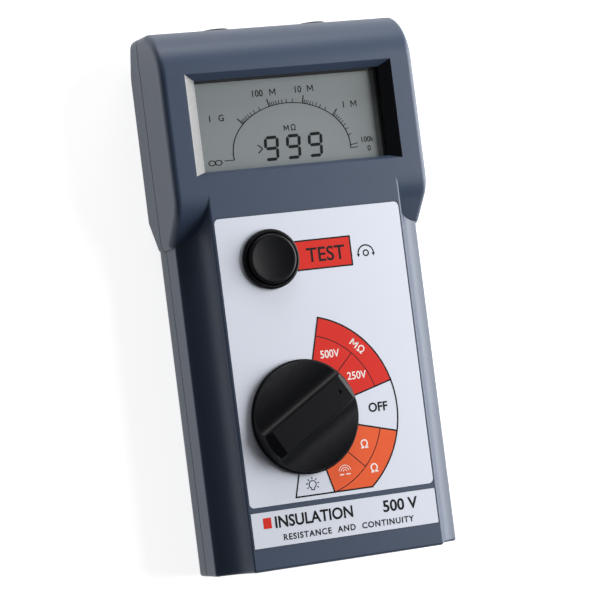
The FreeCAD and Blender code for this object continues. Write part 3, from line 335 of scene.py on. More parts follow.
def hoop(name, centre, inner, outer, low, high):
    """A flat whole ring."""
    return turned(name, Vector((*centre, 0)), [
        (inner, low), (outer, low), (outer, high), (inner, high), (inner, low)], steps=48)


def sector(name, centre, inner, outer, start, end, low, high):
    """A flat ring sector between two angles in degrees."""
    piece = primitive(
        "plane", name, size=1, rotation=(math.pi / 2, 0, 0), scale=(outer - inner, high - low, 1),
        location=((inner + outer) / 2, 0, (low + high) / 2))
    with editing(piece):
        bpy.ops.mesh.spin(
            steps=max(4, round(abs(end - start) / 2.5)), angle=-math.radians(end - start),
            center=(0, 0, 0), axis=(0, 0, 1))
    moved(piece, Matrix.Translation((*centre, 0)) @ Matrix.Rotation(math.radians(start), 4, "Z"))
    tidy_mesh(piece)
    return piece


def stroke(name, start, end, width, low, high):
    """A straight printed line between two (x, y) points."""
    run = Vector(end) - Vector(start)
    centre = (Vector(start) + Vector(end)) / 2
    return primitive(
        "cube", name, size=1, scale=(run.length, width, high - low),
        rotation=(0, 0, math.atan2(run.y, run.x)), location=(centre.x, centre.y, (low + high) / 2))


def letter_m(centre, size, width, line, low, high, turned_by=0.0):
    """A capital M of four straight strokes."""
    turning = Matrix.Rotation(math.radians(turned_by), 2)
    half, tall = (width - line) / 2, size / 2
    corners = [(-half, -tall), (-half, tall), (0, -tall * 0.45), (half, tall), (half, -tall)]
    points = [Vector(centre) + turning @ Vector(corner) for corner in corners]
    return [stroke("m", start, end, line, low, high) for start, end in zip(points, points[1:])]


def lettering(name, text, centre, size, low, high, turned_by=0.0, weight=0.0, spacing=1.0, squeeze=1.0):
    """Raised lettering; size is the height of a capital."""
    deselect()
    bpy.ops.object.text_add()
    words = bpy.context.object
    words.data.body = text
    words.data.size = size / CAPITAL_HEIGHT / MM
    words.data.offset = weight
    words.data.space_character = spacing
    words.data.align_x = "CENTER"
    words.data.resolution_u = 4
    bpy.ops.object.convert(target="MESH")
    words = bpy.context.object
    words.matrix_world = (
        Matrix.Translation((centre[0], centre[1], low))
        @ Matrix.Rotation(math.radians(turned_by), 4, "Z")
        @ Matrix.Translation((0, -size / 2, 0))
        @ Matrix.Diagonal((squeeze * MM, MM, MM, 1)))
    words = added(name)
    with editing(words):
        bpy.ops.mesh.remove_doubles(threshold=0.001 * MM)
        bpy.ops.mesh.select_all(action="SELECT")
        bpy.ops.mesh.extrude_region_move(TRANSFORM_OT_translate={"value": (0, 0, high - low)})
    tidy_mesh(words, apart=0.001 * MM)
    bpy.ops.object.shade_flat()
    return words


# ---------------- material helpers
def add(tree, kind, inputs=None, **settings):
    """Adds a shader node; inputs are values, or sockets to link."""
    node = tree.nodes.new("ShaderNode" + kind)
    for key, value in settings.items():
        setattr(node, key, value)
    for key, value in (inputs or {}).items():
        if isinstance(value, bpy.types.NodeSocket):
            tree.links.new(value, node.inputs[key])
        else:
            node.inputs[key].default_value = value
    return node


def maths(tree, operation, *values):
    """The result of a maths node."""
    return add(tree, "Math", dict(enumerate(values)), operation=operation).outputs[0]


def shade(rgb, factor):
    """The colour made darker or lighter."""
    return [min(1.0, c * factor) for c in rgb[:3]] + [1.0]


def finish(name, base, roughness, metallic=0.0, grain=0.6, depth=0.01, patch=14.0, mottle=0.05,
           spread=0.06, stretch=(1, 1, 1), glow=0.0, mirror=0.5):
    """A Principled finish with grain in its surface and drift in its colour and gloss.

    grain and patch are in millimetres across, and depth is the grain's depth.
    """
    made = bpy.data.materials.new(name)
    made.use_nodes = True
    made.diffuse_color = (*base[:3], 1.0)
    tree = made.node_tree
    tree.nodes.clear()
    out = add(tree, "OutputMaterial")
    place = add(tree, "TexCoord").outputs["Object"]
    if stretch != (1, 1, 1):
        place = add(tree, "Mapping", {"Vector": place, "Scale": stretch}).outputs["Vector"]
    fine = add(tree, "TexNoise", {"Vector": place, "Scale": 1 / (grain * MM), "Detail": 2.0,
                                  "Roughness": 0.55})
    wide = add(tree, "TexNoise", {"Vector": place, "Scale": 1 / (patch * MM), "Detail": 3.0,
                                  "Roughness": 0.6})
    drift = add(tree, "MixRGB", {"Fac": wide.outputs["Fac"], "Color1": shade(base, 1 - mottle),
                                 "Color2": shade(base, 1 + mottle)})
    speck = add(tree, "MapRange", {"Value": fine.outputs["Fac"], "From Min": 0.25, "From Max": 0.75,
                                   "To Min": roughness - spread, "To Max": roughness + spread})
    bump = add(tree, "Bump", {"Height": fine.outputs["Fac"], "Distance": depth * MM, "Strength": 1.0})
    surface = add(tree, "BsdfPrincipled", {
        "Base Color": drift.outputs["Color"], "Roughness": speck.outputs["Result"],
        "Normal": bump.outputs["Normal"], "Metallic": metallic, "Specular IOR Level": mirror,
        "Emission Color": (1, 1, 1, 1), "Emission Strength": glow})
    tree.links.new(surface.outputs["BSDF"], out.inputs["Surface"])
    return made


def wear(piece, material):
    """Gives a piece one material."""
    piece.data.materials.clear()
    piece.data.materials.append(material)
    return piece


# ---------------- materials
FINISHES = {}


def finished(name, *details, **more):
    """The finish of this name, made once."""
    if name not in FINISHES:
        FINISHES[name] = finish(name, *details, **more)
    return FINISHES[name]


def eroded_abs():
    """Injection-moulded ABS from a spark-eroded tool: a fine even pebble breaks up the highlight.

    The walls of the display recess come from a polished part of the tool, so they mirror the light
    on the right; their colour is darkened to near black there as painted shade.
    """
    look = bpy.context.scene.tester_colours
    sizes = bpy.context.scene.tester_sizes
    made = finished("eroded_abs", look.case, 0.42, grain=sizes.grain / MM, depth=0.022, patch=22,
                    mottle=0.05, spread=0.05, mirror=0.42)
    tree = made.node_tree
    if "polished_walls" in tree.nodes:
        return made
    place = add(tree, "TexCoord").outputs["Object"]
    axes = add(tree, "SeparateXYZ", {"Vector": place}).outputs
    low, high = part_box("display_window")
    # the case laps the window; a side wall runs out this far and spreads above and below
    lap, run, above, below = 2.2 * MM, 4.2 * MM, 2.3 * MM, 1.3 * MM
    edge = high.x - lap
    wide = maths(tree, "ABSOLUTE", axes["X"])
    over = maths(tree, "MULTIPLY_ADD", wide, above / run, high.y - lap - edge * above / run)
    under = maths(tree, "MULTIPLY_ADD", wide, -below / run, low.y + lap + edge * below / run)
    inside = maths(tree, "LESS_THAN", wide, edge + run - 0.02 * MM)
    for test in (
            maths(tree, "GREATER_THAN", over, axes["Y"]),
            maths(tree, "GREATER_THAN", axes["Y"], under),
            maths(tree, "LESS_THAN", axes["Z"], LABEL_TOP - 0.02 * MM),
            maths(tree, "GREATER_THAN", axes["Z"], low.z - 1 * MM)):
        inside = maths(tree, "MULTIPLY", inside, test)
    surface = [node for node in tree.nodes if node.type == "BSDF_PRINCIPLED"][0]
    colour_link, gloss_link = (
        surface.inputs[key].links[0].from_socket for key in ("Base Color", "Roughness"))
    # painted shade: the recess walls take 5% of the case colour, standing for the shadow they lie in
    dark = add(tree, "MixRGB", {"Fac": inside, "Color1": colour_link, "Color2": shade(look.case, 0.05)})
    dark.name = "polished_walls"
    sheen = add(tree, "MixRGB", {"Fac": inside, "Color1": gloss_link, "Color2": (0.2, 0.2, 0.2, 1)})
    tree.links.new(dark.outputs["Color"], surface.inputs["Base Color"])
    tree.links.new(sheen.outputs["Color"], surface.inputs["Roughness"])
    return made


def control_abs():
    """Black ABS with a finer, duller texture than the case, so that only broad lights show."""
    look = bpy.context.scene.tester_colours
    return finished("control_abs", look.control, 0.34, grain=0.5, depth=0.012, patch=6, mottle=0.18,
                    spread=0.07, mirror=0.18)


def overlay_film():
    """Matt polycarbonate overlay: pale, nearly even, with a velvet grain."""
    look = bpy.context.scene.tester_colours
    return finished("overlay_film", look.label, 0.5, grain=0.4, depth=0.003, patch=30, mottle=0.012)


def screen_ink(name, ink):
    """Screen-printed ink: an even coat with slight pinholing from the mesh."""
    return finished(name, ink, 0.5, grain=0.35, depth=0.003, patch=9, mottle=0.03, mirror=0.15)


def crystal_face():
    """Front polariser over a grey reflector: flat, soft and a little uneven."""
    look = bpy.context.scene.tester_colours
    return finished("polariser", look.crystal, 0.42, grain=0.3, depth=0.001, patch=40, mottle=0.05)


def crystal_segment():
    """Driven liquid crystal: near black with the reflector still showing through."""
    look = bpy.context.scene.tester_colours
    return finished("driven_segment", look.segment, 0.4, grain=0.3, depth=0.001, patch=3, mottle=0.08,
                    mirror=0.1)


def clear_window():
    """Cast acrylic pane: lamps pass through it, and its face gives a faint mirror at a low angle."""
    made = bpy.data.materials.new("cast_acrylic")
    made.use_nodes = True
    tree = made.node_tree
    tree.nodes.clear()
    place = add(tree, "TexCoord").outputs["Object"]
    haze = add(tree, "TexNoise", {"Vector": place, "Scale": 1 / (9 * MM), "Detail": 2.0})
    blur = add(tree, "MapRange", {"Value": haze.outputs["Fac"], "To Min": 0.03, "To Max": 0.09})
    clear = add(tree, "BsdfTransparent", {"Color": (0.95, 0.96, 0.96, 1)})
    gloss = add(tree, "BsdfGlossy", {"Color": (1, 1, 1, 1), "Roughness": blur.outputs["Result"]})
    both = add(tree, "MixShader", {0: 0.03, 1: clear.outputs["BSDF"], 2: gloss.outputs["BSDF"]})
    out = add(tree, "OutputMaterial")
    tree.links.new(both.outputs["Shader"], out.inputs["Surface"])
    return made


def metal(name, hex_text, roughness, grain=0.25, depth=0.003, stretch=(1, 1, 1)):
    return finished(name, linear(hex_text), roughness, metallic=1.0, grain=grain, depth=depth,
                    patch=5, mottle=0.07, stretch=stretch)


def plain(name, hex_text, roughness, grain=0.4, depth=0.005, patch=6, mottle=0.06, **more):
    return finished(name, linear(hex_text), roughness, grain=grain, depth=depth, patch=patch,
                    mottle=mottle, **more)


SLOT_FINISH = {
    "case_plastic": eroded_abs,
    "control_plastic": control_abs,
    "label_film": overlay_film,
    "display_glass": crystal_face,
    "clear_acrylic": clear_window,
    # soft black that keeps the seams dark
    "seal_rubber": lambda: plain("moulded_nitrile", "#0b0b0c", 0.62, depth=0.008),
    # flat silver-grey, smoother than the shell round it
    "rating_foil": lambda: plain("printed_foil", "#b9bcc0", 0.38, grain=0.3, depth=0.002),
    # greyer and duller than the knob's black
    "black_plastic": lambda: plain("filled_nylon", "#141416", 0.55, depth=0.01),
    # milky white with a soft sheen
    "light_guide": lambda: plain("opal_acrylic", "#dfe4e2", 0.3, depth=0.002),
    # deep green lacquer with a faint weave under it
    "board_laminate": lambda: plain("green_resist", "#1c5a36", 0.32, grain=0.8, depth=0.01),
    # cool grey metal with a soft, slightly yellow shine
    "zinc_steel": lambda: metal("zinc_plated_steel", "#b4b3ae", 0.34),
    # ivory, waxy and without sparkle
    "natural_acetal": lambda: plain("natural_acetal", "#e6e3d8", 0.4),
    # warm silver, the brightest metal inside
    "nickel_brass": lambda: metal("nickel_plated_brass", "#c8c3b6", 0.22),
    # dull charcoal with the grit of a pressed powder
    "ferrite": lambda: plain("sintered_ferrite", "#2a2a2c", 0.6, depth=0.02),
    # orange-brown with streaks along the turns
    "copper_wire": lambda: metal("enamelled_copper", "#a8542c", 0.35, stretch=(1, 1, 6)),
    # mustard coat, glossy on its rounded edges
    "component_yellow": lambda: plain("dipped_epoxy", "#c9a227", 0.35, depth=0.01),
    # dark blue film drawn tight over the can
    "capacitor_sleeve": lambda: plain("shrunk_sleeve", "#1d2434", 0.35, depth=0.004),
    # blue cover, satin like the shell but smoother
    "relay_case": lambda: plain("relay_cover", "#1f3f66", 0.4),
    # pale blue lacquer, slightly lumpy
    "resistor_body": lambda: plain("lacquered_resistor", "#4f7f9c", 0.38, depth=0.008),
    # near-black and matt, with a sandy skin
    "chip_resin": lambda: plain("moulded_resin", "#18191b", 0.5, depth=0.012),
    # bright can that mirrors the board
    "crystal_can": lambda: metal("drawn_nickel_silver", "#c6c6c2", 0.25),
    # white with a wet-looking glaze
    "fuse_ceramic": lambda: plain("glazed_ceramic", "#ebe7dd", 0.25, depth=0.002),
    # bright wire that catches a line of light on each turn
    "spring_steel": lambda: metal("tinned_spring_steel", "#a6a6a3", 0.28),
    # yellow metal with a lathe-bright face
    "insert_brass": lambda: metal("turned_brass", "#b98d3c", 0.3),
    # dark glossy sleeve of a dry cell
    "cell_jacket": lambda: plain("printed_jacket", "#23262c", 0.3, grain=0.5, depth=0.002),
}


# ---------------- operators
class TESTER_OT_stage(Operator):
    """Lays the pale floor and sets the lights and the camera"""

    bl_idname = "tester.stage"
    bl_label = "Stage"

    def execute(self, context):
        settings = context.scene.tester_stage
        low, high = CAD_BOX
        centre = (low + high) / 2
        floor = primitive("plane", "pale_floor", size=6, location=(0, 0, low.z - 0.02 * MM))
        wear(floor, finish("lit_table", settings.floor, 0.7, grain=3, depth=0.02, patch=300, mottle=0.01,
                           glow=settings.glow))
        self.light("key_softbox", settings.key, (0.66, 0.08, 0.38), 0.7, 0.66, centre)
        self.light("low_strip", settings.strip, (0.8, 0.04, 0.07), 0.7, 0.12, centre)
        self.light("end_softbox", settings.top, (0.05, 0.85, 0.24), 0.7, 0.3, centre)
        world = bpy.data.worlds.new("studio_room")
        world.use_nodes = True
        world.node_tree.nodes["Background"].inputs["Color"].default_value = (1, 1, 1, 1)
        world.node_tree.nodes["Background"].inputs["Strength"].default_value = settings.fill
        context.scene.world = world
        context.scene.view_settings.view_transform = "Standard"
        self.camera(context, settings)
        return {"FINISHED"}

    def light(self, name, power, offset, width, height, target):
        """A rectangular lamp at an offset from the target, in metres, turned to face it."""
        data = bpy.data.lights.new(name, "AREA")
        data.shape = "RECTANGLE"
        data.size, data.size_y = width, height
        data.energy = power
        lamp = bpy.data.objects.new(name, data)
        bpy.context.scene.collection.objects.link(lamp)
        lamp.location = target + Vector(offset)
        lamp.rotation_mode = "QUATERNION"
        lamp.rotation_quaternion = Vector(offset).to_track_quat("Z", "Y")

    def camera(self, context, settings):
        data = bpy.data.cameras.new("studio_camera")
        data.lens = settings.lens
        data.clip_end = 50
        camera = bpy.data.objects.new("studio_camera", data)
        context.scene.collection.objects.link(camera)
        context.scene.camera = camera
        a, e = settings.azimuth, settings.elevation
        back = Vector((math.sin(a) * math.cos(e), -math.cos(a) * math.cos(e), math.sin(e)))
        right = Vector((0, 0, 1)).cross(back).normalized()
        level = Matrix((right, back.cross(right), back)).transposed()
        target = Vector((settings.aim_right, settings.aim_up, LABEL_TOP))
        camera.matrix_world = (
            Matrix.Translation(target + back * settings.distance)
            @ (level @ Matrix.Rotation(settings.roll, 3, "Z")).to_4x4())


class TESTER_OT_finishes(Operator):
    """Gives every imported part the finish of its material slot"""

    bl_idname = "tester.finishes"
    bl_label = "Part finishes"

    def execute(self, context):
        made = {}
        for node, piece in frame["nodes"].items():
            slot = SLOT_OF[node]
            if slot not in made:
                made[slot] = SLOT_FINISH[slot]()
            piece.data.materials.clear()
            piece.data.materials.append(made[slot])
        return {"FINISHED"}


class TESTER_OT_range_knob(Operator):
    """Models the range knob: a rimmed disc with two scoops that leave a grip bar"""

    bl_idname = "tester.range_knob"
    bl_label = "Range knob"

    TILT = 31.0  # degrees from +X to the bar at rest, where it points at 250 V

    def execute(self, context):
        sizes = context.scene.tester_sizes
        low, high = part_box("range_knob")
        radius = (high.x - low.x) / 2
        body = radius - sizes.knob_step
        base = KNOB_AXIS.z
        seal_low, seal_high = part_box("knob_seal")
        hub = (seal_high.x - seal_low.x) / 2 - 1.9 * MM  # stands inside the seal
        bore = 1.55 * MM  # clears the knob's screw
        soft = 0.3 * MM  # rounding of the turned edges
        rim = base + sizes.knob_rim
        knob = turned("range_knob_cap", KNOB_AXIS, [
            (0, base), (bore, base), (bore, low.z), (hub, low.z), (hub, base),
            *arc((radius - soft, base + soft), soft, -90, 0, 3),
            *arc((radius - soft, rim - soft), soft, 0, 90, 3),
            (body, rim),
            *arc((body - sizes.knob_draft - soft, high.z - soft), soft, 10, 90, 3),
            (0, high.z),
        ])
        self.scoop(knob, sizes, high.z, radius)
        self.tips(knob, sizes, high.z, radius)
        tidy_mesh(knob)
        modify(knob, "BEVEL", width=sizes.bar_round, segments=4, limit_method="ANGLE",
               angle_limit=math.radians(40), use_clamp_overlap=True)
        smooth(knob, 19)
        modify(knob, "WEIGHTED_NORMAL", keep_sharp=True, weight=60)
        wear(knob, control_abs())
        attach(knob, "knob")
        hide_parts("range_knob")
        return {"FINISHED"}

    def placed(self, cutter):
        """Turns a cutter to the bar and moves it to the knob."""
        return moved(cutter, Matrix.Translation((KNOB_AXIS.x, KNOB_AXIS.y, 0))
                     @ Matrix.Rotation(math.radians(self.TILT), 4, "Z"))

    def scoop(self, knob, sizes, top, radius):
        """Cuts an elliptical trough along each side of the bar."""
        half = sizes.bar_width / 2
        for side in (-1, 1):
            trough = primitive(
                "cylinder", "trough", vertices=96, radius=1, depth=radius * 3,
                rotation=(0, math.pi / 2, 0), location=(0, 0, 0))
            moved(trough, Matrix.Translation((0, side * (half + sizes.scoop_reach), top))
                  @ Matrix.Diagonal((1, sizes.scoop_reach, sizes.scoop_depth, 1)))
            carve(knob, self.placed(trough))

    def tips(self, knob, sizes, top, radius):
        """Slopes the two ends of the bar and sinks the pointer's dimple."""
        block, rise = 8 * MM, 1.2 * MM
        for side, run in ((1, 1.5 * MM), (-1, 3.2 * MM)):
            slope = primitive("cube", "slope", size=1, scale=(block, sizes.bar_width * 1.04, block))
            turned_by = side * math.atan2(rise, run)
            start = side * (radius - sizes.knob_step - sizes.knob_draft - run)
            moved(slope, Matrix.Translation((start, 0, top)) @ Matrix.Rotation(turned_by, 4, "Y")
                  @ Matrix.Translation((0, 0, block / 2)))
            carve(knob, self.placed(slope))
        dimple = primitive("uv_sphere", "dimple", segments=24, ring_count=12, radius=0.75 * MM,
                           location=(radius - 6.6 * MM, 0, top + 0.15 * MM))
        carve(knob, self.placed(dimple))


class TESTER_OT_test_button(Operator):
    """Turns the dished test button and the ring that it sits in"""

    bl_idname = "tester.test_button"
    bl_label = "Test button"

    def execute(self, context):
        sizes = context.scene.tester_sizes
        low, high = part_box("test_button")
        radius = (high.x - low.x) / 2
        edge = sizes.button_edge
        dish = radius - 1.2 * edge
        deep = sizes.button_dish
        bowl = (dish ** 2 + deep ** 2) / (2 * deep)
        half = math.degrees(math.asin(dish / bowl))
        cap = turned("test_button_cap", BUTTON_AXIS, [
            (0, low.z), (radius - 0.2 * MM, low.z), (radius, low.z + 0.2 * MM),
            *arc((radius - edge, high.z - edge), edge, 0, 90, 6),
            *arc((0, high.z - deep + bowl), bowl, -90 + half, -90, 12),
        ])
        wear(cap, control_abs())
        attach(cap, "test_cap")
        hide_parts("test_button")

        low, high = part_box("button_bezel")
        outer = (high.x - low.x) / 2
        barrel = outer - 0.55 * MM  # the flange laps the label by this much
        inner = radius + 0.45 * MM  # clearance round the button
        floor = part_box("spring_seat")[0].z - 3.4 * MM  # the spring stands between them
        bore = 3.1 * MM  # passes the button's stem
        round_over = 0.65 * MM
        ring = turned("button_ring", BUTTON_AXIS, [
            (bore, low.z), (barrel, low.z), (barrel, LABEL_TOP), (outer, LABEL_TOP),
            *arc((outer - round_over, high.z - round_over), round_over, 0, 90, 6),
            *arc((inner + 0.2 * MM, high.z - 0.2 * MM), 0.2 * MM, 90, 180, 3),
            (inner, floor), (bore, floor), (bore, low.z),
        ])
        wear(ring, control_abs())
        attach(ring, "case")
        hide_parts("button_bezel")
        return {"FINISHED"}


class TESTER_OT_return_spring(Operator):
    """Winds the coil spring under the test button; it is fixed to the case and does not close up as the button is
    pressed
    """

    bl_idname = "tester.return_spring"
    bl_label = "Return spring"

    def execute(self, context):
        sizes = context.scene.tester_sizes
        low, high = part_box("button_spring")
        wire = sizes.spring_wire / 2
        rise = high.z - low.z - 2 * wire
        coil = primitive(
            "circle", "return_spring", vertices=10, radius=wire, rotation=(math.pi / 2, 0, 0),
            location=((high.x - low.x) / 2 - wire, 0, low.z + wire))
        modify(coil, "SCREW", axis="Z", angle=FULL_TURN, iterations=sizes.spring_turns,
               screw_offset=rise / sizes.spring_turns, steps=32, render_steps=32)
        with editing(coil, "EDGE"):
            bpy.ops.mesh.fill_holes(sides=0)
        tidy_mesh(coil)
        smooth(coil, 60)
        moved(coil, Matrix.Translation((BUTTON_AXIS.x, BUTTON_AXIS.y, 0)))
        wear(coil, SLOT_FINISH[SLOT_OF["button_spring"]]())
        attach(coil, "case")
        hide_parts("button_spring")
        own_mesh(coil)
        return {"FINISHED"}


class TESTER_OT_rating_print(Operator):
    """Lays the rating label on the back, with plain wording that stands just proud of it"""

    bl_idname = "tester.rating_print"
    bl_label = "Rating print"

    def execute(self, context):
        look = context.scene.tester_colours
        rise = context.scene.tester_sizes.print_rise
        low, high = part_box("rating_label")
        foil = plate("rating_plate", [(low.x, low.y), (high.x, low.y), (high.x, high.y), (low.x, high.y)],
                     low.z + rise, high.z)
        wear(foil, SLOT_FINISH[SLOT_OF["rating_label"]]())
        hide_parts("rating_label")
        middle = (low + high) / 2
        line = (high.y - low.y) / 3.4
        lines = []
        for step, text in enumerate(("INSULATION TESTER", "250 V   500 V   Ω", "BATTERY  6 x 1.5 V  AA")):
            # the text faces down, so it is mirrored to read from below
            lines.append(lettering("rating", text, (middle.x, middle.y + (1 - step) * line), line * 0.33,
                                   low.z, low.z + rise + SUNK, squeeze=-1))
        printed = join("rating_print", lines)
        wear(printed, screen_ink("black_ink", look.black))
        for piece in (foil, printed):
            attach(piece, "case")
        return {"FINISHED"}


class TESTER_OT_face_print(Operator):
    """Prints the range ring, the test box and their lettering on the face label"""

    bl_idname = "tester.face_print"
    bl_label = "Face print"

    # mm: left side from the button's axis, then the low, right and high sides
    TEST_BOX = (9.9, 6.8, 15.0, 17.2)
    # text, mm out and degrees round the ring, mm high, degrees turned, weight, squeeze
    WHITE_WORDS = (
        ("500V", 24.4, 60.3, 2.75, 0, 0.05, 0.9),
        ("250V", 24.8, 30.0, 2.75, 0, 0.05, 0.9),
        ("Ω", 32.5, 41.3, 2.6, -45, 0.06, 1),
        ("Ω", 24.5, -30.5, 2.9, 0, 0.06, 1),
        ("Ω", 32.0, -42.0, 2.9, 3, 0.06, 1),
    )

    def execute(self, context):
        look = context.scene.tester_colours
        self.sizes = context.scene.tester_sizes
        self.centre = KNOB_AXIS.x + self.sizes.ring_offset, KNOB_AXIS.y
        rise = self.sizes.print_rise
        self.foot = KNOB_AXIS.y - self.sizes.ring_foot
        self.low = LABEL_TOP - SUNK
        # lettering stands over the outlines, and they over the colours
        self.first, second, third = (LABEL_TOP + rise * share for share in (0.6, 0.8, 1.0))
        self.dark, self.words = (self.low, second), (self.low, third)
        inks = {
            "red": (self.red(), look.red),
            "orange": (self.orange(), look.orange),
            "black": (self.black(), look.black),
            "white": (self.white(), look.white),
        }
        for name, (pieces, ink) in inks.items():
            printed = join(f"face_print_{name}", pieces)
            wear(printed, screen_ink(f"{name}_screen_ink", ink))
            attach(printed, "case")
        return {"FINISHED"}

    def at(self, radius, degrees):
        """A point round the ring's centre."""
        a = math.radians(degrees)
        return self.centre[0] + radius * MM * math.cos(a), self.centre[1] + radius * MM * math.sin(a)

    def trimmed(self, piece):
        """Cuts off what goes below the ring's straight foot."""
        with editing(piece):
            bpy.ops.mesh.bisect(plane_co=(0, self.foot, 0), plane_no=(0, -1, 0), use_fill=True,
                                clear_outer=True)
        return piece

    def ring(self, inner, outer, start, end, high):
        return self.trimmed(sector("ring", self.centre, inner, outer, start, end, self.low, high))

    def box(self):
        """Sides of the red test box: left, low, right, high."""
        left, low, right, high = (side * MM for side in self.TEST_BOX)
        return BUTTON_AXIS.x + left, low, right, high

    def red(self):
        left, low, right, high = self.box()
        s = self.sizes
        return [
            self.ring(s.ring_inner, s.ring_outer, 15, 75, self.first),
            plate("box", [(left, low), (right, low), (right, high), (left, high)], self.low, self.first),
        ]

    def orange(self):
        s = self.sizes
        return [self.ring(s.ring_inner, s.ring_outer, -75, -15, self.first)]

    def black(self):
        s = self.sizes
        line = s.outline
        thin = line * 0.58
        made = [self.ring(s.ring_outer - line, s.ring_outer, -75, 75, self.dark[1])]
        made += [self.ring(s.ring_middle - thin / 2, s.ring_middle + thin / 2, start, end, self.dark[1])
                 for start, end in ((15, 75), (-75, -15))]
        for degrees in range(75, -106, -30):
            # the middle one of each coloured field only parts the inner row
            parts_row = abs(degrees) == 45
            outer = s.ring_middle if parts_row else s.ring_outer
            made.append(self.trimmed(stroke(
                "spoke", self.at(s.ring_inner / MM, degrees), self.at(outer / MM, degrees),
                thin if parts_row else line, *self.dark)))
        left = self.centre[0] - s.ring_foot * math.tan(math.radians(15)) - line / 2
        right = self.centre[0] + math.sqrt(s.ring_outer ** 2 - s.ring_foot ** 2)
        made.append(stroke("foot", (left, self.foot), (right, self.foot), line, *self.dark))
        x0, y0, x1, y1 = self.box()
        for start, end in (((x0, y0), (x1, y0)), ((x1, y0 - line / 2), (x1, y1 + line / 2)),
                           ((x0, y1), (x1, y1))):
            made.append(stroke("edge", start, end, line, *self.dark))
        made.append(lettering("test", "TEST", ((x0 + x1) / 2 + 0.8 * MM, (y0 + y1) / 2 - 0.1 * MM), 5.1 * MM,
                              *self.words, weight=0.1, squeeze=0.95))
        made.append(lettering("off", "OFF", self.at(28.2, 0.4), 3.2 * MM, *self.words, weight=0.12,
                              squeeze=0.94))
        made += self.lock_sign() + self.lamp_sign()
        return made

    def lock_sign(self):
        """An arc with an arrow at each end over a small ring: turn to hold."""
        x, y = 20.7 * MM, 10.4 * MM
        line = 0.5 * MM
        made = [
            sector("arc", (x, y), 2.75 * MM, 2.75 * MM + line, 0, 180, *self.dark),
            hoop("ring", (x, y + 0.15 * MM), 0.75 * MM, 0.75 * MM + line, *self.dark),
        ]
        for side in (-1, 1):
            tip = x + side * 2.95 * MM
            corners = [(tip - 0.65 * MM, y), (tip + 0.65 * MM, y), (tip, y - 1.2 * MM)]
            made.append(plate("arrow", corners[::side], *self.dark))
        return made

    def lamp_sign(self):
        """A small ring with rays: the display light."""
        x, y = self.at(24.2, -91.5)
        line = 0.36 * MM
        made = [sector("bulb", (x, y), 1.15 * MM, 1.15 * MM + line, -60, 240, *self.dark)]
        for side in (-1, 1):
            across = x + side * 0.6 * MM
            made.append(stroke("neck", (across, y - 1.1 * MM), (across, y - 1.9 * MM), line, *self.dark))
        foot = y - 1.9 * MM
        made.append(stroke("cap", (x - 0.6 * MM, foot), (x + 0.6 * MM, foot), line, *self.dark))
        for degrees in range(-30, 211, 40):
            a = math.radians(degrees)
            made.append(stroke(
                "ray", (x + 1.85 * MM * math.cos(a), y + 1.85 * MM * math.sin(a)),
                (x + 2.6 * MM * math.cos(a), y + 2.6 * MM * math.sin(a)), line, *self.dark))
        return made

    def white(self):
        made = [
            lettering("w", text, self.at(out, degrees), size * MM, *self.words,
                      turned_by=turned_by, weight=weight, squeeze=squeeze)
            for text, out, degrees, size, turned_by, weight, squeeze in self.WHITE_WORDS]
        made += letter_m(self.at(32.5, 47.2), 2.6 * MM, 2.9 * MM, 0.48 * MM, *self.words, -45)
        return made + self.buzzer_sign()

    def buzzer_sign(self):
        """Three waves over a broken line: the continuity buzzer."""
        x, y = self.at(24.4, -59.6)
        y -= 0.3 * MM
        line = 0.42 * MM
        made = [
            sector("wave", (x, y), radius * MM - line / 2, radius * MM, 12, 168, *self.words)
            for radius in (0.85, 1.65, 2.45)]
        for side in (-1, 1):
            near, far = x + side * 0.4 * MM, x + side * 2.1 * MM
            made.append(stroke("dash", (near, y - 0.9 * MM), (far, y - 0.9 * MM), line, *self.words))
        return made


class TESTER_OT_name_print(Operator):
    """Prints generic wording on the strip at the foot of the face"""

    bl_idname = "tester.name_print"
    bl_label = "Strip print"

    # text, mm right of and above the strip's middle, mm high, weight, spacing, squeeze
    WORDS = (
        ("500 V", 21.5, 2.3, 4.0, 0.14, 1, 1),
        ("INSULATION", -12.0, 2.3, 4.0, 0.14, 1, 0.92),
        ("RESISTANCE  AND  CONTINUITY", 0.8, -3.4, 2.1, 0.08, 1.18, 0.98),
    )

    def execute(self, context):
        look = context.scene.tester_colours
        low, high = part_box("name_label")
        base, top = high.z - SUNK, high.z + context.scene.tester_sizes.print_rise
        centre = (low + high) / 2
        black = [
            lettering("name", text, (centre.x + x * MM, centre.y + y * MM), size * MM, base, top,
                      weight=weight, spacing=spacing, squeeze=squeeze)
            for text, x, y, size, weight, spacing, squeeze in self.WORDS]
        words = join("strip_print_black", black)
        wear(words, screen_ink("black_screen_ink", look.black))
        mark = plate("strip_print_red", [
            (low.x + 4.3 * MM, centre.y + 0.4 * MM), (low.x + 7.4 * MM, centre.y + 0.4 * MM),
            (low.x + 7.4 * MM, centre.y + 4.2 * MM), (low.x + 4.3 * MM, centre.y + 4.2 * MM)], base, top)
        wear(mark, screen_ink("red_screen_ink", look.red))
        for piece in (words, mark):
            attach(piece, "case")
        return {"FINISHED"}


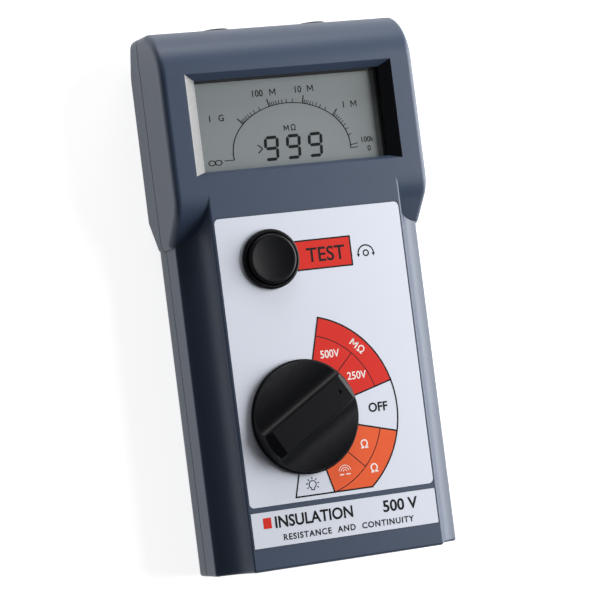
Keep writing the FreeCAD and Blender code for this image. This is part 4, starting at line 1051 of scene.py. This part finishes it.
class TESTER_OT_display(Operator):
    """Draws the scale, its figures and the large digits on the liquid-crystal display"""

    bl_idname = "tester.display"
    bl_label = "Display"

    WIDE, TALL = 22.84 * MM, 17.06 * MM
    FIRST, LAST = -4.0, 186.0
    LINE, END_LINE, FINE_LINE = 0.42 * MM, 0.3 * MM, 0.27 * MM
    FIGURES = (  # text, mm across and up the face, mm high
        ("1", -30.3, 64.2, 2.35), ("G", -25.9, 64.2, 2.35), ("100", -11.2, 71.9, 2.35),
        ("10", 4.65, 72.2, 2.35), ("1", 21.9, 65.3, 2.35), ("100k", 29.4, 52.0, 1.95),
        ("0", 29.9, 48.7, 2.0), ("Ω", 1.2, 58.6, 2.1))
    LETTERS_M = ((-5.1, 71.9, 2.35), (9.65, 72.2, 2.35), (25.9, 65.3, 2.35), (-1.5, 58.6, 2.0))
    # angle on the scale of each decade's long mark, from the left
    DECADES = (141.0, 107.5, 74.3, 40.8, -0.5)

    def execute(self, context):
        look = context.scene.tester_colours
        self.sizes = context.scene.tester_sizes
        low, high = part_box("display_window")
        self.centre = Vector((-0.14 * MM, (low.y + high.y) / 2 - 10.8 * MM))
        self.ink = GLASS_TOP - SUNK, GLASS_TOP + self.sizes.print_rise
        left, right = low.x + 2.2 * MM, high.x - 2.2 * MM
        foot, head = high.y - 3.0 * MM, high.y - 2.0 * MM
        # painted shade: a strip in the black ink finish along the top of the glass stands for the shadow in the
        # gap under the bezel's top wall
        shade_strip = plate("display_border", [(left, foot), (right, foot), (right, head), (left, head)],
                       *self.ink)
        wear(shade_strip, screen_ink("black_screen_ink", look.black))
        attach(shade_strip, "case")
        for name, pieces in (("display_scale", self.scale()), ("display_figures", self.figures()),
                             ("display_digits", self.digits())):
            drawn = join(name, pieces)
            wear(drawn, crystal_segment())
            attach(drawn, "case")
        return {"FINISHED"}

    def on_scale(self, degrees, out=0.0):
        """A point of the elliptical scale, moved out along its normal."""
        a = math.radians(degrees)
        point = Vector((self.WIDE * math.cos(a), self.TALL * math.sin(a)))
        normal = Vector((math.cos(a) / self.WIDE, math.sin(a) / self.TALL)).normalized()
        return self.centre + point + normal * out

    def scale(self):
        half = self.LINE / 2
        band = sector("band", (0, 0), self.WIDE - half, self.WIDE + half, self.FIRST, self.LAST,
                      *self.ink)
        with editing(band):
            bpy.ops.transform.resize(value=(1, self.TALL / self.WIDE, 1), center_override=(0, 0, 0))
        made = [moved(band, Matrix.Translation((*self.centre, 0)))]
        for degrees in self.DECADES[:-1]:
            made.append(self.mark(degrees, 2.9 * MM, self.LINE))
        for start, end in zip(self.DECADES, self.DECADES[1:]):
            for share in range(2, 10):
                at = end + (start - end) * math.log10(share)
                made.append(self.mark(at, 1.4 * MM, self.FINE_LINE))
        ends = (self.DECADES[-1], 2.9, 0.5), (self.FIRST, 2.9, 0.1), (self.LAST, -3.8, 0)
        for degrees, run, lift in ends:
            start = self.on_scale(degrees)
            made.append(stroke("end", start, start + Vector((run * MM, lift * MM)), self.END_LINE, *self.ink))
        return made

    def mark(self, degrees, reach, width):
        """A mark that stands out from the scale."""
        return stroke("mark", self.on_scale(degrees), self.on_scale(degrees, reach), width, *self.ink)

    def figures(self):
        made = [
            lettering("figure", text, (x * MM, y * MM), size * MM, *self.ink, weight=0.04,
                      squeeze=0.95)
            for text, x, y, size in self.FIGURES]
        for x, y, size in self.LETTERS_M:
            made += letter_m((x * MM, y * MM), size * MM, size * MM, 0.34 * MM, *self.ink)
        for side in (-1, 1):
            made.append(self.loop(-30.2 * MM + side * 1.25 * MM, 48.3 * MM))
        return made

    def loop(self, x, y):
        """One of the two loops of the sign for no reading."""
        ring = hoop("loop", (0, 0), 0.9 * MM, 1.3 * MM, *self.ink)
        with editing(ring):
            bpy.ops.transform.resize(value=(1.12, 0.8, 1), center_override=(0, 0, 0))
        return moved(ring, Matrix.Translation((x, y, 0)))

    def digits(self):
        s = self.sizes
        made = []
        foot = 47.2 * MM
        first = 0.1 * MM - s.digit_pitch
        for place in range(3):
            made += self.nine(first + place * s.digit_pitch, foot)
        x, y = -12.4 * MM, 51.9 * MM
        for side in (-1, 1):
            made.append(stroke("more", (x - 0.95 * MM, y + side * 1.5 * MM), (x + 0.85 * MM, y), self.LINE,
                               *self.ink))
        return made

    def nine(self, x, foot):
        """Six lit bars of a seven-bar digit, leaning to the right."""
        s = self.sizes
        half, tall = s.digit_width / 2, s.digit_height / 2
        gap, thick = 0.12 * MM, 1.15 * MM
        inset = thick / 2
        bars = []
        for row in (0, 1, 2):
            y = foot + inset + row * (tall - inset)
            bars.append(((x - half + inset, y), (x + half - inset, y)))
        bars += [((x + half - inset, foot + inset), (x + half - inset, foot + tall)),
                 ((x + half - inset, foot + tall), (x + half - inset, foot + 2 * tall - inset)),
                 ((x - half + inset, foot + tall), (x - half + inset, foot + 2 * tall - inset))]
        lean = math.tan(math.radians(4.5))
        made = []
        for start, end in bars:
            start, end = Vector(start), Vector(end)
            along = (end - start).normalized()
            across = Vector((-along.y, along.x)) * thick / 2
            start, end = start + along * gap, end - along * gap
            corners = [start, start + along * inset - across, end - along * inset - across, end,
                       end - along * inset + across, start + along * inset + across]
            leaning = [(point.x + (point.y - foot) * lean, point.y) for point in corners]
            made.append(plate("bar", leaning, *self.ink))
        return made


class VIEW3D_PT_tester(Panel):
    """Lists the steps that build the tester's looks"""

    bl_label = "Insulation tester"
    bl_idname = "VIEW3D_PT_tester"
    bl_space_type = "VIEW_3D"
    bl_region_type = "UI"
    bl_category = "Tester"

    def draw(self, context):
        for step in STEPS:
            self.layout.operator(step.bl_idname)
        for group in (context.scene.tester_colours, context.scene.tester_sizes, context.scene.tester_stage):
            for name in group.__annotations__:
                self.layout.prop(group, name)


STEPS = (
    TESTER_OT_stage,
    TESTER_OT_finishes,
    TESTER_OT_range_knob,
    TESTER_OT_test_button,
    TESTER_OT_return_spring,
    TESTER_OT_rating_print,
    TESTER_OT_face_print,
    TESTER_OT_name_print,
    TESTER_OT_display,
)
GROUPS = {"tester_colours": TesterColours, "tester_sizes": TesterSizes, "tester_stage": StageSettings}


def register():
    for made in (*GROUPS.values(), *STEPS, VIEW3D_PT_tester):
        bpy.utils.register_class(made)
    for name, group in GROUPS.items():
        setattr(bpy.types.Scene, name, PointerProperty(type=group))


def unregister():
    for name in GROUPS:
        delattr(bpy.types.Scene, name)
    for made in (VIEW3D_PT_tester, *reversed(STEPS), *GROUPS.values()):
        bpy.utils.unregister_class(made)


def main():
    register()
    for step in STEPS:
        group, name = step.bl_idname.split(".")
        getattr(getattr(bpy.ops, group), name)()


if __name__ == "__main__":
    main()
